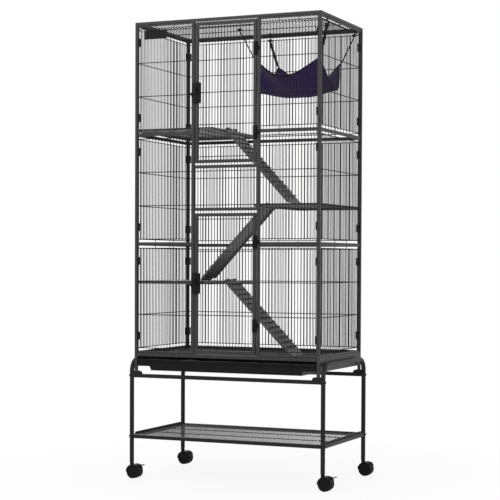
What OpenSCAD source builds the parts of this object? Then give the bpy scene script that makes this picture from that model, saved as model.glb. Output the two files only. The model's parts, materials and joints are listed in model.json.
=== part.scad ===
// Ferret cage: three tiers of welded wire walls with two doors, three platforms
// joined by ramps, a hammock, a pull-out tray and a castor stand with a shelf.
// Millimetres, +Z up, front toward -Y, origin on the floor under the bounding box's middle.

/* [Cage body] */
// Width over the corner posts
cage_w = 762; // [660:1:914]
// Depth over the corner posts
cage_d = 456; // [400:1:560]
// Height of one of the three tiers of wall panels
tier_h = 418; // [360:1:500]
// Side of the square corner posts
post = 11; // [10:0.5:14]
// Height and width of the roof frame's bars
roof_bar = 11; // [9:0.5:14]
// Height of the welded frame under the walls
base_h = 13; // [11:0.5:20]
// Length of the corner posts below the base frame
post_drop = 57; // [46:1:70]

/* [Wire panels] */
// Distance between neighbouring upright wires
pitch = 12.7; // [11:0.1:16]
// Thickness of the upright wires
wire_up = 2.2; // [1.8:0.2:2.6]
// Thickness of the cross wires
wire_row = 2.8; // [2.4:0.2:3.2]
// Height of a panel's top and bottom rail
rail_h = 6.4; // [5:0.2:9]
// Thickness of a panel's rails through the wall
rail_t = 6; // [6:0.5:8]
// Gap between a bottom rail and its nearest cross wire
row_low = 12; // [9:0.5:20]
// Gap between a top rail and its nearest cross wire
row_high = 10; // [8:0.5:20]
// Thickness of the bar along each upright edge of a panel
edge_bar = 4; // [3.6:0.2:5]

/* [Doors] */
// Clear width between the two door mullions
door_open = 258; // [220:1:300]
// Width of a door mullion
mullion = 12; // [11:0.5:16]
// Side of the bars of a door's frame
door_bar = 12; // [11:0.5:14]
// Gap round a door
door_gap = 4; // [3:0.5:6]
// Height of the fixed panel between the doors beyond each of its cross wires
middle_reach = 22; // [18:0.5:40]
// Distance of a hinge's middle from the door's end
hinge_inset = 109; // [60:1:150]
// Length of one hinge
hinge_l = 48; // [36:2:60]

/* [Platforms and ramps] */
// Width of the two left platforms from the side wall to their free edge
platform_left_w = 310; // [260:1:340]
// Width of the right platform from the side wall to its free edge
platform_right_w = 255; // [220:1:300]
// Depth of a platform's turned-down rim
platform_rim = 12; // [9:1:16]
// Thickness of the platforms' and ramps' sheet
sheet = 1.6; // [1.2:0.2:2.4]
// Width of a ramp
ramp_w = 118; // [98:1:150]
// Length of a ramp from its hinge rod to its foot
ramp_l = 400; // [350:1:470]
// Distance between the ramp's rungs
rung_pitch = 25.4; // [20:0.1:40]
// Distance of the ramps' middle in front of the cage's middle
ramp_front = 50; // [20:1:70]
// Diameter of the rod that a ramp hooks on
rod_d = 5; // [4:0.5:6]
// Height of that rod's middle above the platform
rod_up = 4; // [3:0.5:8]

/* [Tray] */
// Height of the tray's upper part, above the runners
tray_h = 26; // [20:1:32]
// Depth of the tray's sunken floor below the runners
tray_sunk = 17; // [10:1:19]
// Thickness of the tray's walls
tray_wall = 1.6; // [1.2:0.2:2.4]
// Width of the runners' ledges
ledge_w = 60; // [40:1:80]

/* [Stand] */
// Height of the brackets that carry the corner posts
seat_z = 415; // [380:1:480]
// Height of these brackets above the stand's upper rails
bracket_h = 12; // [8:1:24]
// Diameter of the stand's tube
tube_d = 17; // [15:0.5:20]
// Bend radius of the tube's centre line
bend_r = 46; // [36:1:60]
// Distance of the tube's centre outside the cage's sides
tube_out = 13.5; // [11:0.5:18]
// Height of the stand's and shelf's square rails
stand_bar = 14; // [12:0.5:18]
// Height of the underside of the lower shelf
shelf_z = 154; // [120:1:220]
// Width of the brackets on the upper rails
bracket_w = 34; // [26:1:44]

/* [Castors] */
// Diameter of the castor wheels
wheel_d = 50; // [46:1:54]
// Width of one of a castor's two wheels
wheel_w = 17.5; // [12:0.5:19]
// Distance of the axle behind the swivel stem
trail = 13; // [11:0.5:20]
// Height of the legs' lower ends above the floor
leg_z = 61; // [58:1:70]
// Diameter of the swivel stem
stem_d = 10.9; // [9:0.1:11.5]

/* [Hammock] */
// Size of the hammock along the cage's width
cloth_w = 262; // [200:1:300]
// Size of the hammock along the cage's depth
cloth_d = 225; // [180:1:290]
// Height of its corners below the roof
cloth_drop = 136; // [110:1:180]
// Depth of its belly below the corners
cloth_sag = 150; // [60:1:160]
// Thickness of the padded cloth
cloth_t = 3.2; // [2:0.2:5]
// How far the straps' hooks stand outside the corners along the cage's width
strap_out = 51; // [20:1:60]
// How far the straps' hooks stand outside the corners along the cage's depth
strap_off = 37; // [10:1:50]

/* [Hidden] */
$fn = 40;
eps = 0.1;          // play between pieces that are bolted, clipped or laid together
run = 0.05;         // radial play of a turning fit
mid = post / 2;     // the walls' centre plane lies this far inside the posts' faces

base_z = seat_z + post_drop;      // underside of the base frame
wall_z = base_z + base_h;         // foot of the lowest wall panels
roof_z = wall_z + 3 * tier_h;     // underside of the roof frame
in_w = cage_w - 2 * post;         // clear width between the posts
in_d = cage_d - 2 * post;         // clear depth between the posts
face_y = cage_d / 2 - mid;        // distance of the front wall's centre plane
side_x = cage_w / 2 - mid;        // distance of a side wall's centre plane
leg_x = cage_w / 2 + tube_out;    // distance of the legs' centre lines
tube_r = tube_d / 2;
top_rail_z = seat_z - bracket_h - stand_bar;     // underside of the stand's upper rails
bend_top = base_z - 5 - tube_r;   // height of the side frames' level tube

// Heights of the four cross wires in one tier, above the tier's foot
tier_rows = let (a = rail_h + row_low, b = tier_h - rail_h - row_high)
  [for (i = [0 : 3]) a + (b - a) * i / 3];
// Each platform hangs on a cross wire: tier from below, then the row in that tier
platform_row = [[2, 0], [1, 1], [0, 2]];
function row_z(k) = wall_z + platform_row[k][0] * tier_h + tier_rows[platform_row[k][1]];
plate_up = wire_corner(wire_row) + eps + sheet;   // a platform's top above its cross wire
function plate_z(k) = row_z(k) + plate_up;
floor_z = base_z + 2 + rail_t;    // top of the floor grille's frame
function side_of(k) = k == 1 ? 1 : -1;    // the middle platform hangs on the right wall
function plate_w(k) = k == 1 ? platform_right_w : platform_left_w;
function free_x(k) = in_w / 2 - 0.5 - plate_w(k);   // a platform's free edge from the middle
function wires(w) = floor(w / pitch + 0.02) - 1;

middle_low = row_z(1) - middle_reach;     // the fixed panel between the doors
middle_high = row_z(1) + tier_rows[2] - tier_rows[1] + middle_reach;
door_w = door_open - 2 * door_gap;
door_low = [wall_z + door_gap, middle_low - 9];
door_high = [middle_high + 8, roof_z - door_gap];
hinge_x = door_open / 2 - door_gap / 2;
hinge_y = -cage_d / 2 - 3.6;
hinge_r = 3.7;
pin_r = 2;
leaf_t = 2;
bolt_head = 2.7;
hood_r = wheel_d / 2 + 4;
lever_pivot = [trail + 20, wheel_d / 2 + 24];
lever_out = 19;     // the brake lever's length from its pivot
lever_tilt = 12;    // its rise at rest, in degrees
lever_tip = 2.2;    // radius of its rounded tip
// The bounding box's middle lies to the right of the cage's, as the castors trail that way
off_centre = (lever_pivot[0] + lever_out * cos(lever_tilt) + lever_tip
  - max(tube_r + bolt_head, hood_r - trail)) / 2;

frame_colour = [0.25, 0.26, 0.27];
plastic_colour = [0.07, 0.07, 0.08];
cloth_colour = [0.27, 0.16, 0.36];

// ---------- Welded wire ----------

function wire_corner(d) = round(d * 58) / 100;

// A straight wire along +Z, six-sided, with two flats square to Y
module wire(d, l) {
  flat = round(d * 29) / 100;
  corner = wire_corner(d);
  linear_extrude(l)
    polygon([[-flat, -d / 2], [flat, -d / 2], [corner, 0], [flat, d / 2], [-flat, d / 2], [-corner, 0]]);
}

// A level wire along X, centred on X, lying against the inner side of the plane y = 0
module row_wire(l, z) {
  translate([-l / 2, wire_row / 2, z]) rotate([0, 90, 0]) wire(wire_row, l);
}

// Upright wires against the outer side of the plane y = 0: they run from z = a to z = b,
// and every one numbered in ties reaches from z = c to z = d
module upright_wires(w, a, b, ties, c, d) {
  n = wires(w);
  for (i = [0 : n - 1])
    let (tie = len(search(i, ties)) > 0)
    translate([(i - (n - 1) / 2) * pitch, -wire_up / 2, tie ? c : a])
      wire(wire_up, tie ? d - c : b - a);
}

// The two wires that tie a panel's field to its rails stand at a third and two thirds
function tie_wires(w) = let (n = wires(w), k = round((n - 1) / 3)) [k, n - 1 - k];

// Upright wires of one tier of height h, with its four cross wires
module tier_field(w, l, h, c, d) {
  for (z = tier_rows) row_wire(l, z);
  upright_wires(w, tier_rows[0] - 2.4, tier_rows[3] + 2.4, tie_wires(w), c, d);
}

// One wall panel, w wide and a tier high, standing on z = 0 in the plane y = 0
module wall_panel(w) {
  l = w - 2 * eps;
  h = tier_h - eps;
  color(frame_colour) {
    for (z = [0, h - rail_h]) translate([-l / 2, -rail_t / 2, z]) cube([l, rail_t, rail_h]);
    for (x = [-l / 2, l / 2 - edge_bar])
      translate([x, -edge_bar / 2, rail_h / 2]) cube([edge_bar, edge_bar, h - rail_h]);
    tier_field(w, l - edge_bar, h, rail_h / 2, h - rail_h / 2);
  }
}

module on_tier(k) { translate([0, 0, wall_z + k * tier_h]) children(); }
module back_wall(k) { on_tier(k) translate([0, face_y, 0]) rotate([0, 0, 180]) wall_panel(in_w); }
module left_wall(k) { on_tier(k) translate([-side_x, 0, 0]) rotate([0, 0, -90]) wall_panel(in_d); }
module right_wall(k) { on_tier(k) translate([side_x, 0, 0]) rotate([0, 0, 90]) wall_panel(in_d); }

// The front wall beside the doors: three tiers in one welded panel with the door mullion.
// Drawn for the right side, from x = door_open / 2 to the corner post.
module front_side_panel() {
  x0 = door_open / 2;
  x1 = in_w / 2 - eps;
  w = x1 - x0 - mullion;
  h = 3 * tier_h - eps;
  color(frame_colour) {
    translate([x0, -face_y - mid, wall_z + eps]) cube([mullion, post, h - eps]);
    translate([x1 - edge_bar, -face_y - edge_bar / 2, wall_z + rail_h / 2])
      cube([edge_bar, edge_bar, h - rail_h]);
    for (z = [0, tier_h - rail_h, 2 * tier_h - rail_h, h - rail_h])
      translate([x0 + mullion / 2, -face_y - rail_t / 2, wall_z + z + (z == 0 ? eps : 0)])
        cube([x1 - x0 - mullion / 2, rail_t, (z > 0 && z < h - rail_h ? 2 : 1) * rail_h]);
    for (k = [0 : 2])
      translate([x1 - w / 2, -face_y, wall_z + k * tier_h])
        tier_field(w, w - edge_bar / 2, tier_h, rail_h / 2, tier_h - rail_h / 2);
  }
}

// The fixed panel between the two doors
module middle_panel() {
  w = door_open - 2 * eps;
  bar = 11.6;
  z0 = middle_low;
  h = middle_high - middle_low;
  color(frame_colour) translate([0, -face_y, 0]) {
    for (z = [z0, middle_high - bar]) translate([-w / 2, -rail_t / 2, z]) cube([w, rail_t, bar]);
    for (x = [-w / 2, w / 2 - edge_bar])
      translate([x, -edge_bar / 2, z0 + bar / 2]) cube([edge_bar, edge_bar, h - bar]);
    for (z = [z0 + middle_reach, middle_high - middle_reach]) row_wire(w - edge_bar, z);
    upright_wires(w, z0 + bar / 2, middle_high - bar / 2, [], 0, 0);
  }
}

module corner_post(sx, sy) {
  color(frame_colour)
    translate([sx * (cage_w / 2 - mid), sy * (cage_d / 2 - mid), (seat_z + roof_z) / 2])
      cube([post, post, roof_z - seat_z], center = true);
}

// Four bars round the foot of the walls, tied by an inner ledge that holds the floor grille
module base_frame() {
  color(frame_colour) {
    for (s = [-1, 1]) {
      translate([0, s * (cage_d - post) / 2, base_z + base_h / 2])
        cube([in_w - 2 * eps, post, base_h], center = true);
      translate([s * (cage_w - post) / 2, 0, base_z + base_h / 2])
        cube([post, in_d - 2 * eps, base_h], center = true);
    }
    translate([0, 0, base_z]) difference() {
      translate([-in_w / 2 + eps, -in_d / 2 + eps, 0]) cube([in_w - 2 * eps, in_d - 2 * eps, 2]);
      translate([-in_w / 2 + 9, -in_d / 2 + 9, -1]) cube([in_w - 18, in_d - 18, 4]);
    }
    for (s = [-1, 1]) {
      translate([0, s * (in_d / 2 - 1), base_z + 1]) cube([in_w - 4, 4, 2], center = true);
      translate([s * (in_w / 2 - 1), 0, base_z + 1]) cube([4, in_d - 4, 2], center = true);
    }
  }
}

// A level welded panel: bars of height h round an opening w by d, wires along Y on top
module level_panel(w, d, bar_w, bar_h) {
  for (s = [-1, 1]) {
    translate([0, s * (d - bar_w) / 2, 0]) cube([w, bar_w, bar_h], center = true);
    translate([s * (w - bar_w) / 2, 0, 0]) cube([bar_w, d, bar_h], center = true);
  }
  inner = d - 2 * bar_w;
  gap = 12;
  rotate([-90, 0, 0]) translate([0, 0, -d / 2 + bar_w]) {
    for (i = [0 : 3]) row_wire(w - bar_w, gap + (inner - 2 * gap) * i / 3);
    upright_wires(w - 2 * bar_w, -bar_w / 2, inner + bar_w / 2, [], 0, 0);
  }
}

module roof_panel() {
  color(frame_colour) translate([0, 0, roof_z + roof_bar / 2])
    level_panel(cage_w, cage_d, roof_bar, roof_bar);
}

module floor_grille() {
  color(frame_colour) translate([0, 0, floor_z - rail_t / 2])
    level_panel(in_w - 2, in_d - 2, rail_t, rail_t);
}

// ---------- Corner clips ----------

clip_h = 30;
clip_inset = 65;
clip_arm = 7.4;
// Drawn at a corner whose post fills the first quadrant from the origin
module panel_clip() {
  o = 0.5;
  difference() {
    translate([o, o, 0]) cube([post + clip_arm - o, post + clip_arm - o, clip_h]);
    translate([-1, -1, -1]) cube([post + 1 + eps, post + 1 + eps, clip_h + 2]);
    for (m = [0, 1]) mirror([m, -m, 0])
      translate([post + eps, mid - edge_bar / 2 - eps, -1])
        cube([edge_bar + 2 * eps, edge_bar + 2 * eps, clip_h + 2]);
    translate([post + clip_arm, post + clip_arm, -1]) rotate([0, 0, 45])
      translate([-2, -9, 0]) cube([9, 18, clip_h + 2]);
  }
}

module panel_clips() {
  color(plastic_colour)
    for (sx = [0, 1], sy = [0, 1]) mirror([sx, 0, 0]) mirror([0, sy, 0])
      translate([-cage_w / 2, -cage_d / 2, 0])
        for (k = [0 : 2], z = [clip_inset, tier_h - clip_inset])
          translate([0, 0, wall_z + k * tier_h + z - clip_h / 2]) panel_clip();
}

// ---------- Doors ----------

// A door frame with its wires, between the heights z[0] and z[1]
module door(z) {
  h = z[1] - z[0];
  inner = door_w - 2 * door_bar;
  color(frame_colour) translate([0, -face_y, z[0]]) {
    for (v = [0, h - door_bar]) translate([-door_w / 2, -mid, v]) cube([door_w, post, door_bar]);
    for (x = [-door_w / 2, door_w / 2 - door_bar]) translate([x, -mid, 0]) cube([door_bar, post, h]);
    for (i = [0 : 4]) let (a = door_bar + row_low, b = h - door_bar - row_high)
      row_wire(inner + door_bar, a + (b - a) * i / 4);
    upright_wires(inner, door_bar / 2, h - door_bar / 2, [], 0, 0);
  }
}

function hinge_mids(z) = [z[0] + hinge_inset, z[1] - hinge_inset];
knuckle = hinge_l / 3;

// The outer two knuckles and the leaf of each hinge turn with the door
module door_hinges(z) {
  color(plastic_colour) for (m = hinge_mids(z)) translate([hinge_x, 0, m]) {
    for (v = [-hinge_l / 2, knuckle / 2]) translate([0, 0, v]) difference() {
      union() {
        translate([0, hinge_y, 0]) cylinder(r = hinge_r, h = knuckle);
        translate([-14, -cage_d / 2 - leaf_t, 0]) cube([14, leaf_t - 0.02, knuckle]);
        translate([-4, hinge_y, 0]) cube([4, 3.6 - 0.02, knuckle]);
      }
      translate([0, hinge_y, -1]) cylinder(r = pin_r + run, h = knuckle + 2);
    }
    translate([-14, -cage_d / 2 - leaf_t, -hinge_l / 2]) cube([8, leaf_t - 0.02, hinge_l]);
  }
}

// The middle knuckle, its leaf and the pin stay on the mullion
module hinge_pins() {
  color(plastic_colour) for (z = [door_low, door_high], m = hinge_mids(z))
    translate([hinge_x, 0, m]) {
      translate([0, hinge_y, -knuckle / 2 + 0.2]) cylinder(r = hinge_r, h = knuckle - 0.4);
      translate([0, hinge_y, -knuckle / 2 + 0.2]) cube([4, 3.6 - 0.02, knuckle - 0.4]);
      translate([0, -cage_d / 2 - leaf_t, -knuckle / 2 + 0.2]) cube([14, leaf_t - 0.02, knuckle - 0.4]);
      translate([0, hinge_y, -hinge_l / 2]) cylinder(r = pin_r, h = hinge_l);
      for (v = [-hinge_l / 2 - 2, hinge_l / 2 + 0.2])
        translate([0, hinge_y, v]) cylinder(r = pin_r + 1.4, h = 1.8);
      for (v = [-hinge_l / 2 - 1, hinge_l / 2]) translate([0, hinge_y, v]) cylinder(r = pin_r, h = 1);
    }
}

// ---------- Latches ----------

latch_h = 78;
latch_w = 33;
latch_t = 6;
boss_t = 1;
latch_x = -door_open / 2 - 4 + latch_w / 2;     // the case overlaps the mullion by 4 mm
lever_t = 3;
lever_l = 21;
pivot_r = 3.5;
lever_y = -cage_d / 2 - 0.2 - latch_t - boss_t - 0.3;     // back of the lever's plate
function latch_z(z) = (z[0] + z[1]) / 2;

module rounded_slab(w, h, t, r) {
  translate([-w / 2 + r, -t, -h / 2]) cube([w - 2 * r, t, h]);
  translate([-w / 2, -t, -h / 2 + r]) cube([w, t, h - 2 * r]);
  for (x = [-1, 1], z = [-1, 1])
    translate([x * (w / 2 - r), 0, z * (h / 2 - r)]) rotate([90, 0, 0]) cylinder(r = r, h = t);
}

// The case sits on the door's stile and overlaps the mullion as the door's stop
module latch_case(z) {
  color(plastic_colour) translate([latch_x, -cage_d / 2 - 0.2, latch_z(z)]) {
    difference() {
      union() {
        rounded_slab(latch_w, latch_h, latch_t, 5);
        translate([0, -latch_t + 1, 0]) rotate([90, 0, 0]) cylinder(r = 9, h = 1 + boss_t);
      }
      translate([0, 1, 0]) rotate([90, 0, 0]) cylinder(r = pivot_r + run, h = latch_t + 4);
      for (v = [-1, 1]) translate([3, -latch_t + 3, v * (latch_h / 2 - 9)])
        rotate([90, 0, 0]) cylinder(r = 3.2, h = 6);
    }
    for (v = [-1, 1]) translate([5, -0.5, v * (latch_h / 2 - 9) - 4]) cube([6, 0.6, 8]);
  }
}

// The lever stands up at rest, with the door free; a quarter turn lays its tongue in the keeper
module latch_lever(z) {
  color(plastic_colour) translate([latch_x, lever_y, latch_z(z)]) {
    rotate([90, 0, 0]) cylinder(r = 8.5, h = lever_t);
    translate([-3.5, -lever_t, 0]) cube([7, lever_t, lever_l]);
    translate([0, 0, lever_l]) rotate([90, 0, 0]) cylinder(r = 3.5, h = lever_t);
    translate([-1.6, -lever_t - 4, -6]) cube([3.2, 5, lever_l + 2]);
    translate([0, boss_t + latch_t, 0]) rotate([90, 0, 0]) cylinder(r = pivot_r, h = latch_t + boss_t + 1);
  }
}

// A hooked bracket on the mullion for each lever's tongue
module latch_keepers() {
  x = latch_x - latch_w / 2 - 1;
  w = 7;
  out = -cage_d / 2 - lever_y + lever_t + 0.4;
  color(plastic_colour) for (z = [door_low, door_high])
    translate([x - w, -cage_d / 2, latch_z(z)]) {
      translate([0, -out - 2.5, -8.8]) cube([w, out + 2.5 - 0.02, 5]);
      translate([0, -out - 2.5, -8.8]) cube([w, 2.5, 9]);
      translate([0, -2, -14]) cube([w, 2 - 0.02, 10]);
    }
}

label_w = 95;
label_h = 35;
label_x = -in_w / 2 + 29;
// The gaps between the left front panel's wires that lie well behind the blank plate
label_gaps = let (w = in_w / 2 - eps - door_open / 2 - mullion, n = wires(w),
  mid_x = -in_w / 2 + eps + w / 2)
  [for (i = [0 : n - 2]) let (x = mid_x + (i + 0.5 - (n - 1) / 2) * pitch)
    if (x > label_x + 8 && x < label_x + label_w - 8) x];

// Blank plate on the upper left of the front, with a prong through the first and last gap
module name_plate() {
  color(plastic_colour)
    translate([0, -face_y - wire_up - 2.05, roof_z - rail_h - 14 - label_h]) {
      translate([label_x, 0, 0]) cube([label_w, 2, label_h]);
      for (x = [label_gaps[0], label_gaps[len(label_gaps) - 1]])
        translate([x - 2, 1, 15]) cube([4, 4, 6]);
    }
}

// ---------- Platforms and ramps ----------

lug_w = 8;
eye_w = 9;
eye_r = rod_d / 2 + 2.6;
rod_gap = eye_r + 0.5;    // the rod's centre outside the platform's free edge

// A hook over a cross wire of the side wall, at y = 0, for a platform hung on the left
module wall_hook() {
  top = plate_up;
  x0 = -side_x - sheet - 0.6;
  translate([x0, -3, -4]) cube([sheet, 6, top + 4]);
  translate([x0, -3, top - sheet]) cube([-in_w / 2 + 3 - x0, 6, sheet]);
}

// The rod at the free edge, where a ramp of middle y hooks on
module ramp_rod(edge, y) {
  x = edge + rod_gap;
  l = ramp_w - 2 * 12;
  translate([x, y - l / 2, plate_up + rod_up]) rotate([-90, 0, 0]) cylinder(d = rod_d, h = l);
  for (v = [-l / 2, -lug_w / 2, l / 2 - lug_w])
    translate([edge - 1, y + v, plate_up - sheet - 2]) cube([rod_gap + 1, lug_w, sheet + rod_up + 3.2]);
}

// Drawn for the left side with the cross wire at z = 0; y is the middle of its ramp
module platform(w, y) {
  x0 = -in_w / 2 + 0.5;
  d = in_d - 1;
  color(frame_colour) {
    translate([x0, -d / 2, plate_up - sheet]) cube([w, d, sheet]);
    for (s = [-1, 1]) translate([x0, s * (d - sheet) / 2 - sheet / 2, plate_up - platform_rim])
      cube([w, sheet, platform_rim]);
    for (x = [x0, x0 + w - sheet])
      translate([x, -d / 2, plate_up - platform_rim]) cube([sheet, d, platform_rim]);
    for (i = [1 : 3]) translate([x0 + i * w / 4 - 2, -d / 2 + 8, plate_up - 4.5])
      cube([4, d - 16, 4]);
    for (s = [-1, 1]) translate([0, s * (floor(in_d / 3 / pitch) + 0.5) * pitch, 0]) wall_hook();
    ramp_rod(x0 + w, y);
  }
}

ramp_t = 8;         // height of a ramp's side flanges

// A ramp along +X from its rod at the origin
module ramp_body() {
  start = eye_r + 1;
  color(frame_colour) {
    difference() {
      union() {
        translate([start, -ramp_w / 2, -sheet]) cube([ramp_l - start, ramp_w, sheet]);
        for (s = [-1, 1]) translate([start, s * (ramp_w - sheet) / 2 - sheet / 2, -ramp_t])
          cube([ramp_l - start, sheet, ramp_t]);
        for (i = [1 : floor((ramp_l - 24) / rung_pitch)])
          translate([i * rung_pitch, -ramp_w / 2 + 6, -0.2]) cube([3.2, ramp_w - 12, 2.2]);
      }
      for (s = [-1, 1]) translate([ramp_l, s * ramp_w / 2, -ramp_t - 1])
        rotate([0, 0, 45]) cube([22, 22, 3 * ramp_t], center = true);
    }
    for (s = [-1, 1]) translate([0, s * (ramp_w / 2 - 12 - lug_w - 3 - eye_w / 2), 0]) ramp_eye();
  }
}

// The open eye that hooks over the rod
module ramp_eye() {
  translate([0, -eye_w / 2, 0]) difference() {
    union() {
      rotate([-90, 0, 0]) cylinder(r = eye_r, h = eye_w);
      translate([0, 0, -sheet]) cube([eye_r + 4, eye_w, sheet + 2]);
    }
    translate([0, -1, 0]) rotate([-90, 0, 0]) cylinder(r = rod_d / 2 + 0.1, h = eye_w + 2);
    rotate([0, 45, 0]) translate([-rod_d / 2 - 0.05, -1, -12]) cube([rod_d + 0.1, eye_w + 2, 12]);
  }
}

// Drop from a platform's rod to the surface below it
function ramp_drop(k) =
  plate_z(k) + rod_up - (k < 2 ? plate_z(k + 1) : floor_z) - 0.6;
// How steeply a ramp leans when its foot's corner rests
function ramp_lean(k) = asin((ramp_drop(k) - sheet * 0.67) / ramp_l);

module hung_ramp(k) {
  s = side_of(k);
  translate([s * (free_x(k) - rod_gap), -ramp_front, plate_z(k) + rod_up])
    mirror([s > 0 ? 1 : 0, 0, 0]) rotate([0, ramp_lean(k), 0]) ramp_body();
}

module platform_at(k) {
  translate([0, 0, row_z(k)]) mirror([side_of(k) > 0 ? 1 : 0, 0, 0])
    platform(plate_w(k), -ramp_front);
}

// ---------- Hammock ----------

cloth_x = 182;
cloth_y = 50;
cloth_z = roof_z - cloth_drop;
cells = 16;

// Height of the cloth over the square u, v = -1..1: a belly, lifted corners, soft creases
function cloth_h(u, v) =
  let (edge = max(abs(u), abs(v)), q = abs(u * v))
  -cloth_sag * (1 - pow(q, 0.9)) * (1 - 0.42 * pow(edge, 2.4))
  + 3.2 * sin(540 * (u - v)) * (1 - edge * edge) * 0.6
  + 2.4 * cos(720 * (u + v)) * (1 - q) * edge * 0.5;
function cloth_at(u, v, up) = let (pull = 0.16)
  [cloth_w / 2 * u * (1 - pull * (1 - v * v)),
   cloth_d / 2 * v * (1 - pull * (1 - u * u)),
   cloth_h(u, v) + up];
function grid(up) = [for (j = [0 : cells], i = [0 : cells])
  cloth_at(2 * i / cells - 1, 2 * j / cells - 1, up)];

module hammock() {
  n = cells + 1;
  m = n * n;
  rim = concat([for (i = [0 : cells - 1]) i], [for (j = [0 : cells - 1]) j * n + cells],
    [for (i = [cells : -1 : 1]) cells * n + i], [for (j = [cells : -1 : 1]) j * n]);
  quads = [for (j = [0 : cells - 1], i = [0 : cells - 1]) j * n + i];
  color(cloth_colour) translate([cloth_x, cloth_y, cloth_z])
    polyhedron(concat(grid(0), grid(cloth_t)), concat(
      [for (q = quads) each [[q, q + 1, q + n], [q + 1, q + n + 1, q + n]]],
      [for (q = quads) each [[m + q, m + q + n, m + q + 1], [m + q + 1, m + q + n, m + q + n + 1]]],
      [for (k = [0 : len(rim) - 1]) let (a = rim[k], b = rim[(k + 1) % len(rim)])
        each [[a, m + a, b], [b, m + a, m + b]]]));
}

strap_w = 12;
strap_t = 1.8;
hook_t = 2.2;
hook_w = 4;
buckle_h = 9;
hook_drop = 24;     // the straps' upper ends lie this far below the roof frame
roof_rows = [for (i = [0 : 3]) let (a = (cage_d - 2 * roof_bar) / 2 - 12) -a + 2 * a * i / 3];
strap_top_z = roof_z - hook_drop;

// The roof wire nearest to x, and a place along it that is clear of the cross wires
function hook_x(x) = let (half = (wires(cage_w - 2 * roof_bar) - 1) / 2)
  (round(min(x / pitch, half) + half) - half) * pitch;
function hook_y(y) = let (room = hook_w / 2 + wire_row / 2 + 0.6,
  near = [for (c = roof_rows) if (abs(y - c) < room) c])
  len(near) > 0 ? near[0] + (y < near[0] ? -room : room) : y;

// Strap ends: the hammock's corner, then the hook under the roof
function strap_ends(sx, sy) =
  let (c = [cloth_x + sx * cloth_w / 2, cloth_y + sy * cloth_d / 2, cloth_z + cloth_t / 2])
  [c + [sx * 1.5, sy * 1.5, 1],
   [hook_x(c[0] + sx * strap_out), hook_y(c[1] + sy * strap_off), strap_top_z]];

module strap(a, b) {
  v = b - a;
  l = norm(v);
  translate(a) rotate([0, acos(v[2] / l), atan2(v[1], v[0])])
    translate([-strap_t / 2, -strap_w / 2, 4]) cube([strap_t, strap_w, l - 5]);
}

module hammock_straps() {
  color(plastic_colour) for (sx = [-1, 1], sy = [-1, 1])
    let (e = strap_ends(sx, sy)) strap(e[0], e[1]);
}

// A buckle on each strap with a hook that reaches over a roof wire
module strap_hooks() {
  over = roof_bar / 2 + hook_drop + wire_up + eps;    // underside of the hook's bend
  side = wire_up / 2 + eps + 0.2;
  color(plastic_colour) for (sx = [-1, 1], sy = [-1, 1])
    let (e = strap_ends(sx, sy)[1]) translate(e) {
      translate([-8, -2.2, 0]) cube([16, 4.4, buckle_h]);
      translate([side, -hook_w / 2, buckle_h - 1]) cube([hook_t, hook_w, over + hook_t - buckle_h + 1]);
      translate([-side - hook_t, -hook_w / 2, over]) cube([2 * (side + hook_t), hook_w, hook_t]);
      translate([-side - hook_t, -hook_w / 2, over - 6]) cube([hook_t, hook_w, 6 + hook_t]);
    }
}

// ---------- Tray ----------

ledge_z = base_z - 37;            // top of the runners' ledges
tray_half = in_w / 2 - 3;
sunk_half = cage_w / 2 - ledge_w - 4;

// The tray's outline from the front, drawn in by t
function tray_outline(t, lift) = [
  [-tray_half + t, tray_h + lift], [-tray_half + t, t], [-sunk_half + t, t],
  [-sunk_half + 7 + t, -tray_sunk + t], [sunk_half - 7 - t, -tray_sunk + t],
  [sunk_half - t, t], [tray_half - t, t], [tray_half - t, tray_h + lift]];

module tray_prism(y0, y1, t, lift) {
  translate([0, y1, ledge_z + eps]) rotate([90, 0, 0])
    linear_extrude(y1 - y0) polygon(tray_outline(t, lift));
}

module tray() {
  y0 = -cage_d / 2 + 1;
  y1 = in_d / 2 - 3;
  color(plastic_colour) {
    difference() {
      tray_prism(y0, y1, 0, 0);
      tray_prism(y0 + tray_wall, y1 - tray_wall, tray_wall, 1);
    }
    translate([-tray_half, y0 - 7, ledge_z + eps + tray_h - 2]) cube([2 * tray_half, 8, 2]);
    translate([-tray_half, y0 - 7, ledge_z + eps + tray_h - 8]) cube([2 * tray_half, 1.6, 8]);
  }
}

// An angle under each side of the base frame that carries and guides the tray.
// Drawn for the right side.
module tray_runner() {
  l = in_d - 2 * eps;
  x1 = cage_w / 2;
  color(frame_colour) {
    translate([x1 - 2, -l / 2, ledge_z - 2]) cube([2, l, base_z - eps - ledge_z + 2]);
    translate([x1 - ledge_w, -l / 2, ledge_z - 2]) cube([ledge_w, l, 2]);
    translate([x1 - 10, -l / 2, base_z - eps - 2]) cube([10, l, 2]);
    translate([x1 - ledge_w, l / 2 - 2, ledge_z - 2]) cube([ledge_w, 2, 16]);
  }
}

// ---------- Stand ----------

bore_d = stem_d + 2 * run;
bolt_r = 2.5;
bolt_heights = [top_rail_z + stand_bar / 2, shelf_z + stand_bar / 2];

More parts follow.
